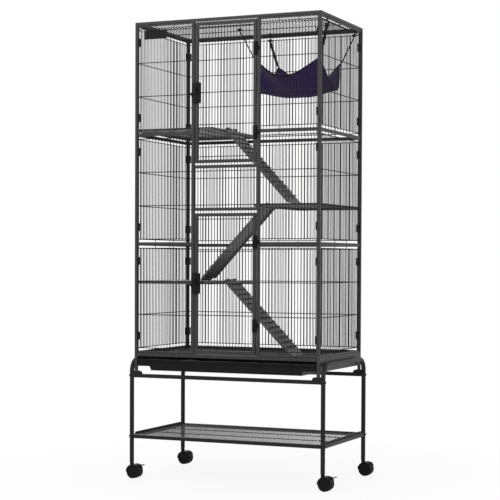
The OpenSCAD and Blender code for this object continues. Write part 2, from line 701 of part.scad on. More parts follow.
// Front leg, bend, level tube, bend and back leg, drawn for the side at x = leg_x
module side_frame() {
  l = 2 * (face_y - bend_r);
  color(frame_colour) translate([leg_x, 0, 0]) difference() {
    union() {
      for (s = [-1, 1]) {
        translate([0, s * face_y, leg_z]) cylinder(r = tube_r, h = bend_top - bend_r - leg_z);
        translate([0, s * (face_y - bend_r), bend_top - bend_r])
          rotate([90, 0, 90]) rotate([0, 0, s > 0 ? 0 : 90])
            rotate_extrude(angle = 90) translate([bend_r, 0]) circle(r = tube_r);
      }
      translate([0, -l / 2, bend_top]) rotate([-90, 0, 0]) cylinder(r = tube_r, h = l);
    }
    for (s = [-1, 1]) {
      translate([0, s * face_y, leg_z - 1]) cylinder(d = bore_d, h = 43);
      for (z = bolt_heights) translate([-tube_d, s * face_y, z])
        rotate([0, 90, 0]) cylinder(r = bolt_r + 0.2, h = 2 * tube_d);
    }
  }
}

// A square rail along X between the legs, hollowed at its ends to sit against the tubes
module cross_rail(z) {
  difference() {
    translate([-leg_x, -stand_bar / 2, z]) cube([2 * leg_x, stand_bar, stand_bar]);
    for (s = [-1, 1]) {
      translate([s * leg_x, 0, z - 1]) cylinder(r = tube_r + run, h = stand_bar + 2);
      translate([s * leg_x - (s > 0 ? 0 : stand_bar), -stand_bar, z - 1])
        cube([stand_bar, 2 * stand_bar, stand_bar + 2]);
      translate([s * (leg_x - 16), 0, z + stand_bar / 2])
        rotate([0, 90, 0]) cylinder(r = bolt_r + run, h = 32, center = true);
    }
  }
}

// Quarter-round bracket with a flat top on which a corner post stands
module bracket() {
  h = bracket_h;
  x1 = leg_x - tube_r - 0.2;
  translate([x1 - bracket_w, mid, top_rail_z + stand_bar]) rotate([90, 0, 0])
    linear_extrude(post) intersection() {
      square([bracket_w, h]);
      union() {
        translate([h, 0]) circle(r = h);
        translate([h, 0]) square([bracket_w - h, h]);
      }
    }
}

module stand_rail(side) {
  color(frame_colour) translate([0, side * face_y, 0]) {
    cross_rail(top_rail_z);
    for (m = [0, 1]) mirror([m, 0, 0]) bracket();
  }
}

// Shelf between the legs: four square rails and a field of wires
module lower_shelf() {
  zc = shelf_z + stand_bar - wire_row - 1.4;
  color(frame_colour) {
    for (s = [-1, 1]) translate([0, s * face_y, 0]) cross_rail(shelf_z);
    for (s = [-1, 1]) difference() {
      translate([s * leg_x - stand_bar / 2, -face_y, shelf_z]) cube([stand_bar, 2 * face_y, stand_bar]);
      for (t = [-1, 1]) {
        translate([s * leg_x, t * face_y, shelf_z - 1]) cylinder(r = tube_r + run, h = stand_bar + 2);
        translate([s * leg_x - stand_bar, t * face_y - (t > 0 ? 0 : stand_bar), shelf_z - 1])
          cube([2 * stand_bar, stand_bar, stand_bar + 2]);
      }
    }
    translate([0, 0, zc]) rotate([-90, 0, 0]) translate([0, 0, -face_y]) {
      for (z = [12, 2 * face_y / 3, 4 * face_y / 3, 2 * face_y - 12]) row_wire(2 * leg_x - 6, z);
      upright_wires(2 * leg_x - stand_bar, 2, 2 * face_y - 2, [], 0, 0);
    }
    for (s = [-1, 1]) translate([s * leg_x - s * 2 - 1, -face_y + 24, shelf_z + stand_bar - 1])
      cube([2, 2 * face_y - 48, 9]);
  }
}

module stand_bolts() {
  color(plastic_colour) for (sx = [0, 1], sy = [-1, 1], z = bolt_heights)
    mirror([sx, 0, 0]) translate([leg_x + tube_r - 0.5, sy * face_y, z]) rotate([0, 90, 0]) {
      translate([0, 0, 0.6]) cylinder(r1 = 5, r2 = 3.4, h = bolt_head - 0.1);
      translate([0, 0, -30]) cylinder(r = bolt_r, h = 31);
    }
}

// ---------- Castors ----------

axle_r = 3;
web_t = 9;          // thickness of the body between the two wheels
wheel_r = wheel_d / 2;
hub_gap = 0.5;
lever_half = 4.8;   // half the brake lever's width
lever_hub = 3;      // radius of its hub
lever_pin = 1.6;    // radius of its pin
blade_t = 3;        // thickness of its blade
ear_t = 3;          // thickness of the hood's ears beside it
ear_gap = 0.4;
castor_half = web_t / 2 + hub_gap + wheel_w;

// The body: swivel stem, web, and a hood over the top of both wheels
module castor_body() {
  color(plastic_colour) difference() {
    union() {
      translate([0, 0, leg_z - 0.3]) mirror([0, 0, 1]) cylinder(r = 7.2, h = 9);
      translate([0, 0, leg_z - 1]) cylinder(d = stem_d, h = 40);
      translate([trail, web_t / 2, wheel_r]) rotate([90, 0, 0]) cylinder(r = hood_r - 3, h = web_t);
      translate([-6, -web_t / 2, wheel_r]) cube([trail, web_t, leg_z - wheel_r - 2]);
      intersection() {
        translate([trail, castor_half - 2, wheel_r]) rotate([90, 0, 0]) difference() {
          cylinder(r = hood_r, h = 2 * castor_half - 4);
          translate([0, 0, -1]) cylinder(r = wheel_r + 0.8, h = 2 * castor_half);
        }
        translate([trail - hood_r, -castor_half, wheel_r]) cube([hood_r + 24, 2 * castor_half, hood_r]);
      }
      for (y = [-lever_half - ear_gap - ear_t, lever_half + ear_gap])
        translate([lever_pivot[0], y, lever_pivot[1]]) rotate([-90, 0, 0]) cylinder(r = 4, h = ear_t);
    }
    translate([lever_pivot[0], -12, lever_pivot[1]]) rotate([-90, 0, 0])
      cylinder(r = lever_pin + run, h = 24);
    translate([trail, castor_half, wheel_r]) rotate([90, 0, 0])
      cylinder(r = axle_r + run, h = 2 * castor_half);
    translate([trail + 10, -lever_half - ear_gap, wheel_r + 14])
      cube([24, 2 * (lever_half + ear_gap), 20]);
  }
}

// Two wheels on one axle
module wheel_pair() {
  color(plastic_colour) {
    translate([trail, castor_half - 1, wheel_r]) rotate([90, 0, 0])
      cylinder(r = axle_r, h = 2 * castor_half - 2);
    for (s = [0, 1]) mirror([0, s, 0]) translate([trail, web_t / 2 + hub_gap, wheel_r])
      rotate([-90, 0, 0]) rotate_extrude()
        polygon([[0.5, 0], [wheel_r - 2, 0], [wheel_r, 2], [wheel_r, wheel_w - 3],
          [wheel_r - 3, wheel_w], [wheel_r - 6, wheel_w], [wheel_r - 8, wheel_w - 2.5],
          [7, wheel_w - 2.5], [6, wheel_w], [0.5, wheel_w]]);
  }
}

// The foot lever on its pin between the ears of a front castor's hood
module brake_lever() {
  pin_l = 2 * (lever_half + ear_gap + ear_t);
  translate([lever_pivot[0], 0, lever_pivot[1]]) rotate([90, 0, 0]) color(plastic_colour) {
    translate([0, 0, -lever_half]) linear_extrude(2 * lever_half) {
      circle(r = lever_hub);
      rotate(lever_tilt) {
        translate([0, -blade_t / 2]) square([lever_out, blade_t]);
        translate([lever_out, 0]) circle(r = lever_tip);
      }
    }
    translate([0, 0, -pin_l / 2]) cylinder(r = lever_pin, h = pin_l);
  }
}

module at_leg(sx, sy) { translate([sx * leg_x, sy * face_y, 0]) children(); }

// ---------- Assembly ----------

// Moves a piece from the cage's middle to the frame's origin under the bounding box's middle
module placed() { translate([-off_centre, 0, 0]) children(); }

placed() corner_post(-1, -1);  // corner_post_front_left
placed() corner_post(1, -1);  // corner_post_front_right
placed() corner_post(-1, 1);  // corner_post_back_left
placed() corner_post(1, 1);  // corner_post_back_right
placed() base_frame();
placed() roof_panel();
placed() floor_grille();
placed() back_wall(2);  // back_panel_top
placed() back_wall(1);  // back_panel_middle
placed() back_wall(0);  // back_panel_bottom
placed() left_wall(2);  // left_panel_top
placed() left_wall(1);  // left_panel_middle
placed() left_wall(0);  // left_panel_bottom
placed() right_wall(2);  // right_panel_top
placed() right_wall(1);  // right_panel_middle
placed() right_wall(0);  // right_panel_bottom
placed() mirror([1, 0, 0]) front_side_panel();  // front_panel_left
placed() front_side_panel();  // front_panel_right
placed() middle_panel();  // front_panel_middle
placed() panel_clips();
placed() door(door_high);  // upper_door
placed() door(door_low);  // lower_door
placed() hinge_pins();
placed() door_hinges(door_high);  // upper_door_hinges
placed() door_hinges(door_low);  // lower_door_hinges
placed() latch_case(door_high);  // upper_latch_case
placed() latch_case(door_low);  // lower_latch_case
placed() latch_lever(door_high);  // upper_latch_lever
placed() latch_lever(door_low);  // lower_latch_lever
placed() latch_keepers();
placed() name_plate();
placed() platform_at(0);  // platform_top
placed() platform_at(1);  // platform_middle
placed() platform_at(2);  // platform_bottom
placed() hung_ramp(0);  // ramp_top
placed() hung_ramp(1);  // ramp_middle
placed() hung_ramp(2);  // ramp_bottom
placed() hammock();
placed() hammock_straps();
placed() strap_hooks();
placed() tray();
placed() mirror([1, 0, 0]) tray_runner();  // tray_runner_left
placed() tray_runner();  // tray_runner_right
placed() mirror([1, 0, 0]) side_frame();  // side_frame_left
placed() side_frame();  // side_frame_right
placed() stand_rail(-1);  // stand_rail_front
placed() stand_rail(1);  // stand_rail_back
placed() lower_shelf();
placed() stand_bolts();
placed() at_leg(-1, -1) castor_body();  // castor_front_left
placed() at_leg(1, -1) castor_body();  // castor_front_right
placed() at_leg(-1, 1) castor_body();  // castor_back_left
placed() at_leg(1, 1) castor_body();  // castor_back_right
placed() at_leg(-1, -1) wheel_pair();  // wheels_front_left
placed() at_leg(1, -1) wheel_pair();  // wheels_front_right
placed() at_leg(-1, 1) wheel_pair();  // wheels_back_left
placed() at_leg(1, 1) wheel_pair();  // wheels_back_right
placed() at_leg(-1, -1) brake_lever();  // brake_lever_left
placed() at_leg(1, -1) brake_lever();  // brake_lever_right
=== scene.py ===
"""Looks of a ferret cage: welded wire walls, doors, ramps, hammock, tray and castor stand."""

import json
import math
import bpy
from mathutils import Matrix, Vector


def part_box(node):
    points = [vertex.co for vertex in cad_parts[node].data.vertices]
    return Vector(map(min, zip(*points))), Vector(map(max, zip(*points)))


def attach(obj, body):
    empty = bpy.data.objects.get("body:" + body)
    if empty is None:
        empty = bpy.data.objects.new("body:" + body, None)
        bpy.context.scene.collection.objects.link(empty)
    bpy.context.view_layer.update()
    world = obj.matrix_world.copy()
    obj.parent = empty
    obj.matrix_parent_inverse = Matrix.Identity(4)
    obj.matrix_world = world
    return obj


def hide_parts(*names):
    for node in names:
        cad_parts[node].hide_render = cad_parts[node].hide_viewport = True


bl_info = {
    "name": "Ferret cage",
    "version": (1, 0, 0),
    "blender": (4, 5, 0),
    "location": "3D View > Sidebar > Cage",
    "description": "Builds the wire work, fabric, plastics and studio of a ferret cage",
    "category": "Object",
}

import bmesh
import bpy
from bpy.props import FloatProperty, FloatVectorProperty, IntProperty, PointerProperty
from mathutils import Matrix, Vector

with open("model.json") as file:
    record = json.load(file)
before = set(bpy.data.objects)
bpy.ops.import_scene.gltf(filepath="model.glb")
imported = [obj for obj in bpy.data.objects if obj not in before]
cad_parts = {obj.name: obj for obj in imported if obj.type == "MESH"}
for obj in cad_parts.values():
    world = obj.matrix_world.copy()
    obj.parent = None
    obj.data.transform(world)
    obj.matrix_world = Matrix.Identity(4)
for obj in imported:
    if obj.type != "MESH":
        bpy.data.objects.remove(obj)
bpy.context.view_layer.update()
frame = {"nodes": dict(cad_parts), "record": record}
MM = 0.001
UP = Vector((0, 0, 1))
MIDDLE_X = sum(corner.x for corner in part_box("roof_panel")) / 2  # the cage's middle is off the origin
ENDS = ("front", "back")
SIDES = ("left", "right")
TIERS = ("top", "middle", "bottom")


# ---------- Settings ----------


class CageWireSizes(bpy.types.PropertyGroup):
    """Wire and bar sizes of the welded panels"""

    pitch: FloatProperty(name="Wire pitch", description="Distance between neighbouring wires",
                         default=12.7 * MM, min=0.008, max=0.02, unit="LENGTH")
    upright: FloatProperty(name="Upright wire", description="Diameter of the upright wires",
                           default=2.7 * MM, min=0.001, max=0.004, unit="LENGTH")
    cross: FloatProperty(name="Cross wire", description="Diameter of the cross wires",
                         default=3.2 * MM, min=0.001, max=0.004, unit="LENGTH")
    rail: FloatProperty(name="Rail height", description="Height of a wall panel's rails",
                        default=6.4 * MM, min=0.004, max=0.012, unit="LENGTH")
    low_gap: FloatProperty(name="Gap over bottom rail", description="Bottom rail to nearest cross wire",
                           default=12 * MM, min=0.006, max=0.03, unit="LENGTH")
    high_gap: FloatProperty(name="Gap under top rail", description="Top rail to nearest cross wire",
                            default=10 * MM, min=0.006, max=0.03, unit="LENGTH")
    rounding: FloatProperty(name="Corner rounding", description="Radius on the corners of square bars",
                            default=1.1 * MM, min=0.0002, max=0.003, unit="LENGTH")


class CageFinish(bpy.types.PropertyGroup):
    """Colours of the cage's finishes"""

    powder: FloatVectorProperty(name="Powder coat", description="Colour of the coated steel",
                                subtype="COLOR", size=3, default=(0.034, 0.0345, 0.0355), min=0, max=1)
    sheet: FloatVectorProperty(name="Sheet", description="Colour of the platforms and ramps",
                               subtype="COLOR", size=3, default=(0.145, 0.146, 0.147), min=0, max=1)
    fleck: FloatVectorProperty(name="Fleck", description="Colour of the light flecks in the coat",
                               subtype="COLOR", size=3, default=(0.060, 0.062, 0.065), min=0, max=1)
    plastic: FloatVectorProperty(name="Plastic", description="Colour of the moulded plastic",
                                 subtype="COLOR", size=3, default=(0.0045, 0.0045, 0.005), min=0, max=1)
    cloth: FloatVectorProperty(name="Cloth", description="Colour of the hammock",
                               subtype="COLOR", size=3, default=(0.043, 0.021, 0.112), min=0, max=1)
    trim: FloatVectorProperty(name="Trim", description="Colour of the binding and straps",
                              subtype="COLOR", size=3, default=(0.005, 0.005, 0.006), min=0, max=1)


class RampSizes(bpy.types.PropertyGroup):
    """Sizes of the ramps"""

    length: FloatProperty(name="Ramp length", description="From the hinge rod to the foot",
                          default=0.400, min=0.3, max=0.5, unit="LENGTH")
    flange: FloatProperty(name="Flange", description="Height of the ramp's turned-down sides",
                          default=8 * MM, min=0.004, max=0.02, unit="LENGTH")
    rung_pitch: FloatProperty(name="Rung pitch", description="Distance between neighbouring rungs",
                              default=25.4 * MM, min=0.01, max=0.05, unit="LENGTH")


class HammockSizes(bpy.types.PropertyGroup):
    """Cut size and drape of the hammock"""

    width: FloatProperty(name="Cut width", description="Cloth width before hanging",
                         default=0.310, min=0.2, max=0.4, unit="LENGTH")
    length: FloatProperty(name="Cut length", description="Cloth length before hanging",
                          default=0.330, min=0.2, max=0.4, unit="LENGTH")
    thickness: FloatProperty(name="Thickness", description="Thickness of the padded cloth",
                             default=3.4 * MM, min=0.001, max=0.01, unit="LENGTH")
    frames: IntProperty(name="Drape steps", description="Steps of the cloth simulation",
                        default=90, min=10, max=200)


class StudioSetup(bpy.types.PropertyGroup):
    """Camera and lamps"""

    lens: FloatProperty(name="Lens", description="Focal length in millimetres on a 36 mm sensor",
                        default=106.37, min=30, max=300)
    turn: FloatProperty(name="Camera turn", description="Turn of the camera about the upright axis",
                        default=math.radians(23.657), subtype="ANGLE", unit="ROTATION")
    tilt: FloatProperty(name="Camera tilt", description="How far the camera looks up, or down below 0",
                        default=math.radians(-1.425), subtype="ANGLE", unit="ROTATION")
    roll: FloatProperty(name="Camera roll", description="Turn of the camera about its line of sight",
                        default=math.radians(0.247), subtype="ANGLE", unit="ROTATION")
    place: FloatVectorProperty(name="Camera place", description="Where the camera stands",
                               subtype="XYZ", size=3, default=(2.2887, -5.2582, 0.8338), unit="LENGTH")
    rise: FloatProperty(name="Upward shift", description="Shift of the picture as a share of its width",
                        default=0.0983, min=-0.5, max=0.5)
    lamp: FloatProperty(name="Lamp power", description="Power of the main soft lamp in watts",
                        default=125, min=0, max=3000)


# ---------- Shader groups ----------

FLECK_START, FLECK_FULL = 0.52, 0.68  # noise levels between which a fleck of the powder coat appears
CLOUD_SHARE = 0.16  # how far broad clouds lighten the powder coat
COAT_ROUGHNESS = 0.34
FLOW_ROUGHNESS = 0.14  # how much moulded plastic's flow pattern adds to its roughness
CLOTH_ROUGHNESS, YARN_ROUGHNESS = 0.72, 0.2
RELIEF = 0.5  # strength of every surface's bumps


def new_group(name, inputs, outputs):
    """An empty shader group with named sockets, and its two end nodes."""
    tree = bpy.data.node_groups.new(name, "ShaderNodeTree")
    for label, kind, value in inputs:
        socket = tree.interface.new_socket(name=label, in_out="INPUT", socket_type=kind)
        socket.default_value = value
    for label, kind in outputs:
        tree.interface.new_socket(name=label, in_out="OUTPUT", socket_type=kind)
    start = tree.nodes.new("NodeGroupInput")
    end = tree.nodes.new("NodeGroupOutput")
    return tree, start, end


def wire_up(tree, *pairs):
    """Link each pair's source socket to its target socket."""
    for source, target in pairs:
        tree.links.new(source, target)


def add_node(tree, kind, **settings):
    """A new node of a kind, with its settings."""
    node = tree.nodes.new(kind)
    for key, value in settings.items():
        setattr(node, key, value)
    return node


def feed(tree, target, value):
    """Give a socket its value: another socket, a number or a colour."""
    if isinstance(value, bpy.types.NodeSocket):
        tree.links.new(value, target)
    elif isinstance(value, (int, float)):
        target.default_value = value
    else:
        target.default_value = (*value[:3], 1)


def feed_all(tree, node, values):
    """Give a node's sockets their values; an underscore in a key stands for a space in its label."""
    for label, value in values.items():
        feed(tree, node.inputs[label.replace("_", " ")], value)


def math_node(tree, operation, a, b, clamp=False):
    """The result of a math node; a and b are sockets or plain numbers."""
    node = add_node(tree, "ShaderNodeMath", operation=operation, use_clamp=clamp)
    feed(tree, node.inputs[0], a)
    feed(tree, node.inputs[1], b)
    return node.outputs[0]


def texture(tree, kind, place, scale, **settings):
    """A texture node over the object's own coordinates; scale is a socket or a number."""
    node = add_node(tree, kind, **settings)
    feed_all(tree, node, dict(Vector=place.outputs["Object"], Scale=scale))
    return node


def mix_colour(tree, factor, a, b):
    """The colour at a share between a and b."""
    node = add_node(tree, "ShaderNodeMix", data_type="RGBA")
    wire_up(tree, (factor, node.inputs["Factor"]), (a, node.inputs["A"]), (b, node.inputs["B"]))
    return node.outputs["Result"]


def background_rays(tree):
    """1 for the rays that show the white background: seen directly, mirrored or through something."""
    seen = add_node(tree, "ShaderNodeLightPath")
    mirrored = math_node(tree, "MAXIMUM", seen.outputs["Is Glossy Ray"],
                         seen.outputs["Is Transmission Ray"])
    return math_node(tree, "MAXIMUM", seen.outputs["Is Camera Ray"], mirrored)


def speckle_group():
    """Powder coat: fine light flecks, a slight orange peel and uneven gloss."""
    tree, start, end = new_group("powder_speckle", [
        ("Base", "NodeSocketColor", (0.04, 0.04, 0.04, 1)),
        ("Fleck", "NodeSocketColor", (0.13, 0.13, 0.13, 1)),
        ("Fleck size", "NodeSocketFloat", 900.0), ("Fleck share", "NodeSocketFloat", 0.35),
        ("Gloss change", "NodeSocketFloat", 0.12)],
        [("Color", "NodeSocketColor"), ("Roughness", "NodeSocketFloat"), ("Height", "NodeSocketFloat")])
    place = add_node(tree, "ShaderNodeTexCoord")
    fine = texture(tree, "ShaderNodeTexNoise", place, start.outputs["Fleck size"])
    feed(tree, fine.inputs["Detail"], 3)
    broad = texture(tree, "ShaderNodeTexNoise", place, 14)
    fleck = add_node(tree, "ShaderNodeMapRange", interpolation_type="SMOOTHSTEP")
    feed_all(tree, fleck, dict(From_Min=FLECK_START, From_Max=FLECK_FULL, Value=fine.outputs["Fac"]))
    share = math_node(tree, "MULTIPLY", fleck.outputs[0], start.outputs["Fleck share"])
    cloud = math_node(tree, "MULTIPLY", broad.outputs["Fac"], CLOUD_SHARE)
    paler = math_node(tree, "ADD", share, cloud, True)
    gloss = math_node(tree, "MULTIPLY", broad.outputs["Fac"], start.outputs["Gloss change"])
    wire_up(tree, (mix_colour(tree, paler, start.outputs["Base"], start.outputs["Fleck"]),
                   end.inputs["Color"]),
            (math_node(tree, "ADD", gloss, COAT_ROUGHNESS), end.inputs["Roughness"]),
            (fine.outputs["Fac"], end.inputs["Height"]))
    return tree


def dust_group():
    """Pale dust that settles where a surface faces up."""
    tree, start, end = new_group("settled_dust", [
        ("Color", "NodeSocketColor", (0.04, 0.04, 0.04, 1)),
        ("Dust", "NodeSocketColor", (0.2, 0.2, 0.19, 1)),
        ("Roughness", "NodeSocketFloat", 0.5), ("Amount", "NodeSocketFloat", 0.12)],
        [("Color", "NodeSocketColor"), ("Roughness", "NodeSocketFloat")])
    shape = add_node(tree, "ShaderNodeNewGeometry")
    split = add_node(tree, "ShaderNodeSeparateXYZ")
    place = add_node(tree, "ShaderNodeTexCoord")
    patch = texture(tree, "ShaderNodeTexNoise", place, 55)
    wire_up(tree, (shape.outputs["Normal"], split.inputs[0]))
    facing = math_node(tree, "MULTIPLY", split.outputs["Z"], start.outputs["Amount"], True)
    share = math_node(tree, "MULTIPLY", facing, patch.outputs["Fac"], True)
    wire_up(tree, (mix_colour(tree, share, start.outputs["Color"], start.outputs["Dust"]),
                   end.inputs["Color"]),
            (math_node(tree, "ADD", start.outputs["Roughness"], share), end.inputs["Roughness"]))
    return tree


def grain_group():
    """Moulded plastic: fine spark-eroded grain and a faint flow pattern."""
    tree, start, end = new_group("moulded_grain", [
        ("Base", "NodeSocketColor", (0.01, 0.01, 0.01, 1)),
        ("Lift", "NodeSocketColor", (0.03, 0.03, 0.03, 1)),
        ("Grain size", "NodeSocketFloat", 1400.0), ("Roughness", "NodeSocketFloat", 0.42)],
        [("Color", "NodeSocketColor"), ("Roughness", "NodeSocketFloat"), ("Height", "NodeSocketFloat")])
    place = add_node(tree, "ShaderNodeTexCoord")
    pits = texture(tree, "ShaderNodeTexVoronoi", place, start.outputs["Grain size"])
    flow = texture(tree, "ShaderNodeTexNoise", place, 30)
    change = math_node(tree, "MULTIPLY", flow.outputs["Fac"], FLOW_ROUGHNESS)
    wire_up(tree, (mix_colour(tree, flow.outputs["Fac"], start.outputs["Base"], start.outputs["Lift"]),
                   end.inputs["Color"]),
            (math_node(tree, "ADD", start.outputs["Roughness"], change), end.inputs["Roughness"]),
            (pits.outputs["Distance"], end.inputs["Height"]))
    return tree


def weave_group():
    """Plain weave: threads over and under each other, with uneven yarn."""
    tree, start, end = new_group("plain_weave", [
        ("Thread", "NodeSocketColor", (0.04, 0.02, 0.1, 1)),
        ("Shade", "NodeSocketColor", (0.02, 0.01, 0.05, 1)),
        ("Threads per metre", "NodeSocketFloat", 900.0)],
        [("Color", "NodeSocketColor"), ("Roughness", "NodeSocketFloat"), ("Height", "NodeSocketFloat")])
    place = add_node(tree, "ShaderNodeTexCoord")
    warp, weft = (texture(tree, "ShaderNodeTexWave", place, start.outputs["Threads per metre"],
                          bands_direction=along) for along in "XY")
    for wave in (warp, weft):
        feed(tree, wave.inputs["Distortion"], 0.6)
    yarn = texture(tree, "ShaderNodeTexNoise", place, 160)
    crossing = math_node(tree, "MULTIPLY", warp.outputs["Fac"], weft.outputs["Fac"])
    both = math_node(tree, "ADD", warp.outputs["Fac"], weft.outputs["Fac"])
    raised = math_node(tree, "MULTIPLY", both, 0.5)
    dark = math_node(tree, "MULTIPLY", math_node(tree, "ADD", crossing, yarn.outputs["Fac"]), 0.5, True)
    fuzz = math_node(tree, "MULTIPLY", yarn.outputs["Fac"], YARN_ROUGHNESS)
    wire_up(tree, (mix_colour(tree, dark, start.outputs["Thread"], start.outputs["Shade"]),
                   end.inputs["Color"]),
            (math_node(tree, "ADD", fuzz, CLOTH_ROUGHNESS), end.inputs["Roughness"]),
            (raised, end.inputs["Height"]))
    return tree


GROUP_MAKERS = {"powder_speckle": speckle_group, "settled_dust": dust_group,
                "moulded_grain": grain_group, "plain_weave": weave_group}
GROUPS = {}


def group(name):
    """The shader group of that name, made at its first use."""
    if name not in GROUPS:
        GROUPS[name] = GROUP_MAKERS[name]()
    return GROUPS[name]


# ---------- Materials ----------


def place_group(tree, name, **values):
    """A node that uses a shader group, with its sockets' values."""
    node = add_node(tree, "ShaderNodeGroup", node_tree=group(name))
    feed_all(tree, node, values)
    return node


def material(name, pattern, values, bump, dust, **shader):
    """A material from one pattern group, optional dust, and plain values on the shader itself."""
    if name in bpy.data.materials:
        return bpy.data.materials[name]
    made = bpy.data.materials.new(name)
    made.use_nodes = True
    tree = made.node_tree
    surface = tree.nodes["Principled BSDF"]
    look = place_group(tree, pattern, **values)
    colour, rough = look.outputs["Color"], look.outputs["Roughness"]
    if dust:
        cover = place_group(tree, "settled_dust", Color=colour, Roughness=rough, Amount=dust)
        colour, rough = cover.outputs["Color"], cover.outputs["Roughness"]
    feed_all(tree, surface, dict(Base_Color=colour, Roughness=rough))
    relief = add_node(tree, "ShaderNodeBump")
    feed_all(tree, relief, dict(Strength=RELIEF, Distance=bump, Height=look.outputs["Height"]))
    feed_all(tree, surface, dict(Normal=relief.outputs["Normal"], **shader))
    return made


def shade(colour, share):
    """A colour, that many times as bright."""
    return [v * share for v in colour]


def finish_of(name):
    """The material of that finish, in the colours of the settings."""
    c = bpy.context.scene.cage_finish
    lift = [min(1, v) for v in shade(c.plastic, 2.4)]
    pattern, values, bump, dust, shader = {
        "powder_coat": ("powder_speckle", dict(Base=c.powder, Fleck=c.fleck, Fleck_size=700.0,
                                               Fleck_share=0.4),
                        0.0001, 0.06, dict(Specular_IOR_Level=0.14)),
        "stand_coat": ("powder_speckle", dict(Base=shade(c.powder, 0.34), Fleck=shade(c.fleck, 0.5),
                                              Fleck_size=700.0, Fleck_share=0.4),
                       0.0001, 0.05, dict(Specular_IOR_Level=0.12)),
        "coated_sheet": ("powder_speckle", dict(Base=c.sheet, Fleck=shade(c.fleck, 1.5),
                                                Fleck_size=620.0, Fleck_share=0.4),
                         0.0001, 0.05, dict(Specular_IOR_Level=0.14)),
        "coated_wire": ("powder_speckle", dict(Base=shade(c.powder, 0.35), Fleck=c.fleck,
                                               Fleck_size=1100.0, Fleck_share=0.3),
                        0.00006, 0.03, dict(Specular_IOR_Level=0.1)),
        "black_plastic": ("moulded_grain", dict(Base=c.plastic, Lift=lift),
                          0.00005, 0.03, dict(Specular_IOR_Level=0.08)),
        "tray_plastic": ("moulded_grain", dict(Base=c.plastic, Lift=lift, Grain_size=700.0, Roughness=0.3),
                         0.00008, 0.03, dict(Specular_IOR_Level=0.08)),
        "wheel_rubber": ("moulded_grain", dict(Base=shade(c.plastic, 1.2), Lift=lift, Grain_size=2200.0,
                                               Roughness=0.55),
                         0.00004, 0.03, dict(Specular_IOR_Level=0.06)),
        "hammock_cloth": ("plain_weave", dict(Thread=c.cloth, Shade=shade(c.cloth, 0.55),
                                              Threads_per_metre=700.0),
                          0.0003, 0, dict(Sheen_Weight=0.08, Sheen_Roughness=0.5, Specular_IOR_Level=0.06)),
        "binding": ("plain_weave", dict(Thread=shade(c.trim, 2), Shade=c.trim, Threads_per_metre=900.0),
                    0.0002, 0, dict(Sheen_Weight=0.06, Specular_IOR_Level=0.06)),
    }[name]
    return material(name, pattern, values, bump, dust, **shader)


# ---------- Mesh helpers ----------

WIRE_FINISH = 1  # the second finish of a welded panel: its wires, beside the bars' finish
WELDED = ("powder_coat", "coated_wire")
SOFTEN_ANGLE = math.radians(30)  # a CAD node's edges sharper than this are rounded
WELD_DISTANCE = 0.02 * MM  # a CAD node's corners nearer than this are joined first
ROUNDING_LIMIT = 0.3  # the most that a bar's edges are rounded, as a share of its thinnest side
WIRE_END = 0.7  # thickness of a wire's rounded end, as a share of the wire's


def bar(bm, lo, hi, rounding):
    """A square bar between two corners, with rounded edges."""
    lo, hi = Vector(lo), Vector(hi)
    made = bmesh.ops.create_cube(bm, size=1)["verts"]
    for v in made:
        v.co = Vector((lo[i] if v.co[i] < 0 else hi[i]) for i in range(3))
    edges = list({e for v in made for e in v.link_edges})
    bmesh.ops.bevel(bm, geom=edges, offset=min(rounding, min(hi - lo) * ROUNDING_LIMIT),
                    segments=2, profile=0.5, affect="EDGES")


def mitred_frame(bm, lo, hi, width, through, rounding):
    """A rectangular frame of bars of one width, mitred at its corners; through is the axis across it."""
    a, b = (i for i in range(3) if i != through)
    loops = []
    for level in (lo[through], hi[through]):
        for inset in (0, width):
            loop = []
            for u, v in ((0, 0), (1, 0), (1, 1), (0, 1)):
                place = Vector((level, level, level))
                place[a] = hi[a] - inset if u else lo[a] + inset
                place[b] = hi[b] - inset if v else lo[b] + inset
                loop.append(bm.verts.new(place))
            loops.append(loop)
    near_out, near_in, far_out, far_in = loops
    for one, two in ((near_out, near_in), (far_in, far_out), (far_out, near_out), (near_in, far_in)):
        skin(bm, [one, two], caps=False)
    mitres = {frozenset(pair) for out, inner in ((near_out, near_in), (far_out, far_in))
              for pair in zip(out, inner)}
    edges = {e for loop in loops for v in loop for e in v.link_edges if frozenset(e.verts) not in mitres}
    bmesh.ops.bevel(bm, geom=list(edges), offset=rounding, segments=2, profile=0.5, affect="EDGES")


def ring(bm, centre, across, up, radius, sides):
    """Vertices evenly round a circle."""
    return [bm.verts.new(centre + (across * math.cos(a) + up * math.sin(a)) * radius)
            for a in (2 * math.pi * i / sides for i in range(sides))]


def skin(bm, rings, closed=False, caps=True):
    """Faces between neighbouring rings of equal size."""
    pairs = list(zip(rings, rings[1:])) + ([(rings[-1], rings[0])] if closed else [])
    made = []
    for a, b in pairs:
        for i in range(len(a)):
            j = (i + 1) % len(a)
            made.append(bm.faces.new((a[i], a[j], b[j], b[i])))
    if caps and not closed:
        made.append(bm.faces.new(list(reversed(rings[0]))))
        made.append(bm.faces.new(rings[-1]))
    return made


def wire(bm, a, b, radius, sides=8):
    """A straight round wire from a to b with its cut ends slightly rounded."""
    a, b = Vector(a), Vector(b)
    along = (b - a).normalized()
    across = along.orthogonal().normalized()
    up = along.cross(across)
    nip = radius * 0.35
    stations = [(a, WIRE_END), (a + along * nip, 1.0), (b - along * nip, 1.0), (b, WIRE_END)]
    rings = [ring(bm, centre, across, up, radius * share, sides) for centre, share in stations]
    for face in skin(bm, rings):
        face.material_index = WIRE_FINISH


def closed_rod(bm, points, radius, sides):
    """A round rod along a bent line that ends where it starts."""
    rings, up = [], None
    for i, p in enumerate(points):
        along = (points[(i + 1) % len(points)] - points[i - 1]).normalized()
        up = along.orthogonal().normalized() if up is None else (up - along * up.dot(along)).normalized()
        rings.append(ring(bm, p, along.cross(up), up, radius, sides))
    skin(bm, rings, closed=True)


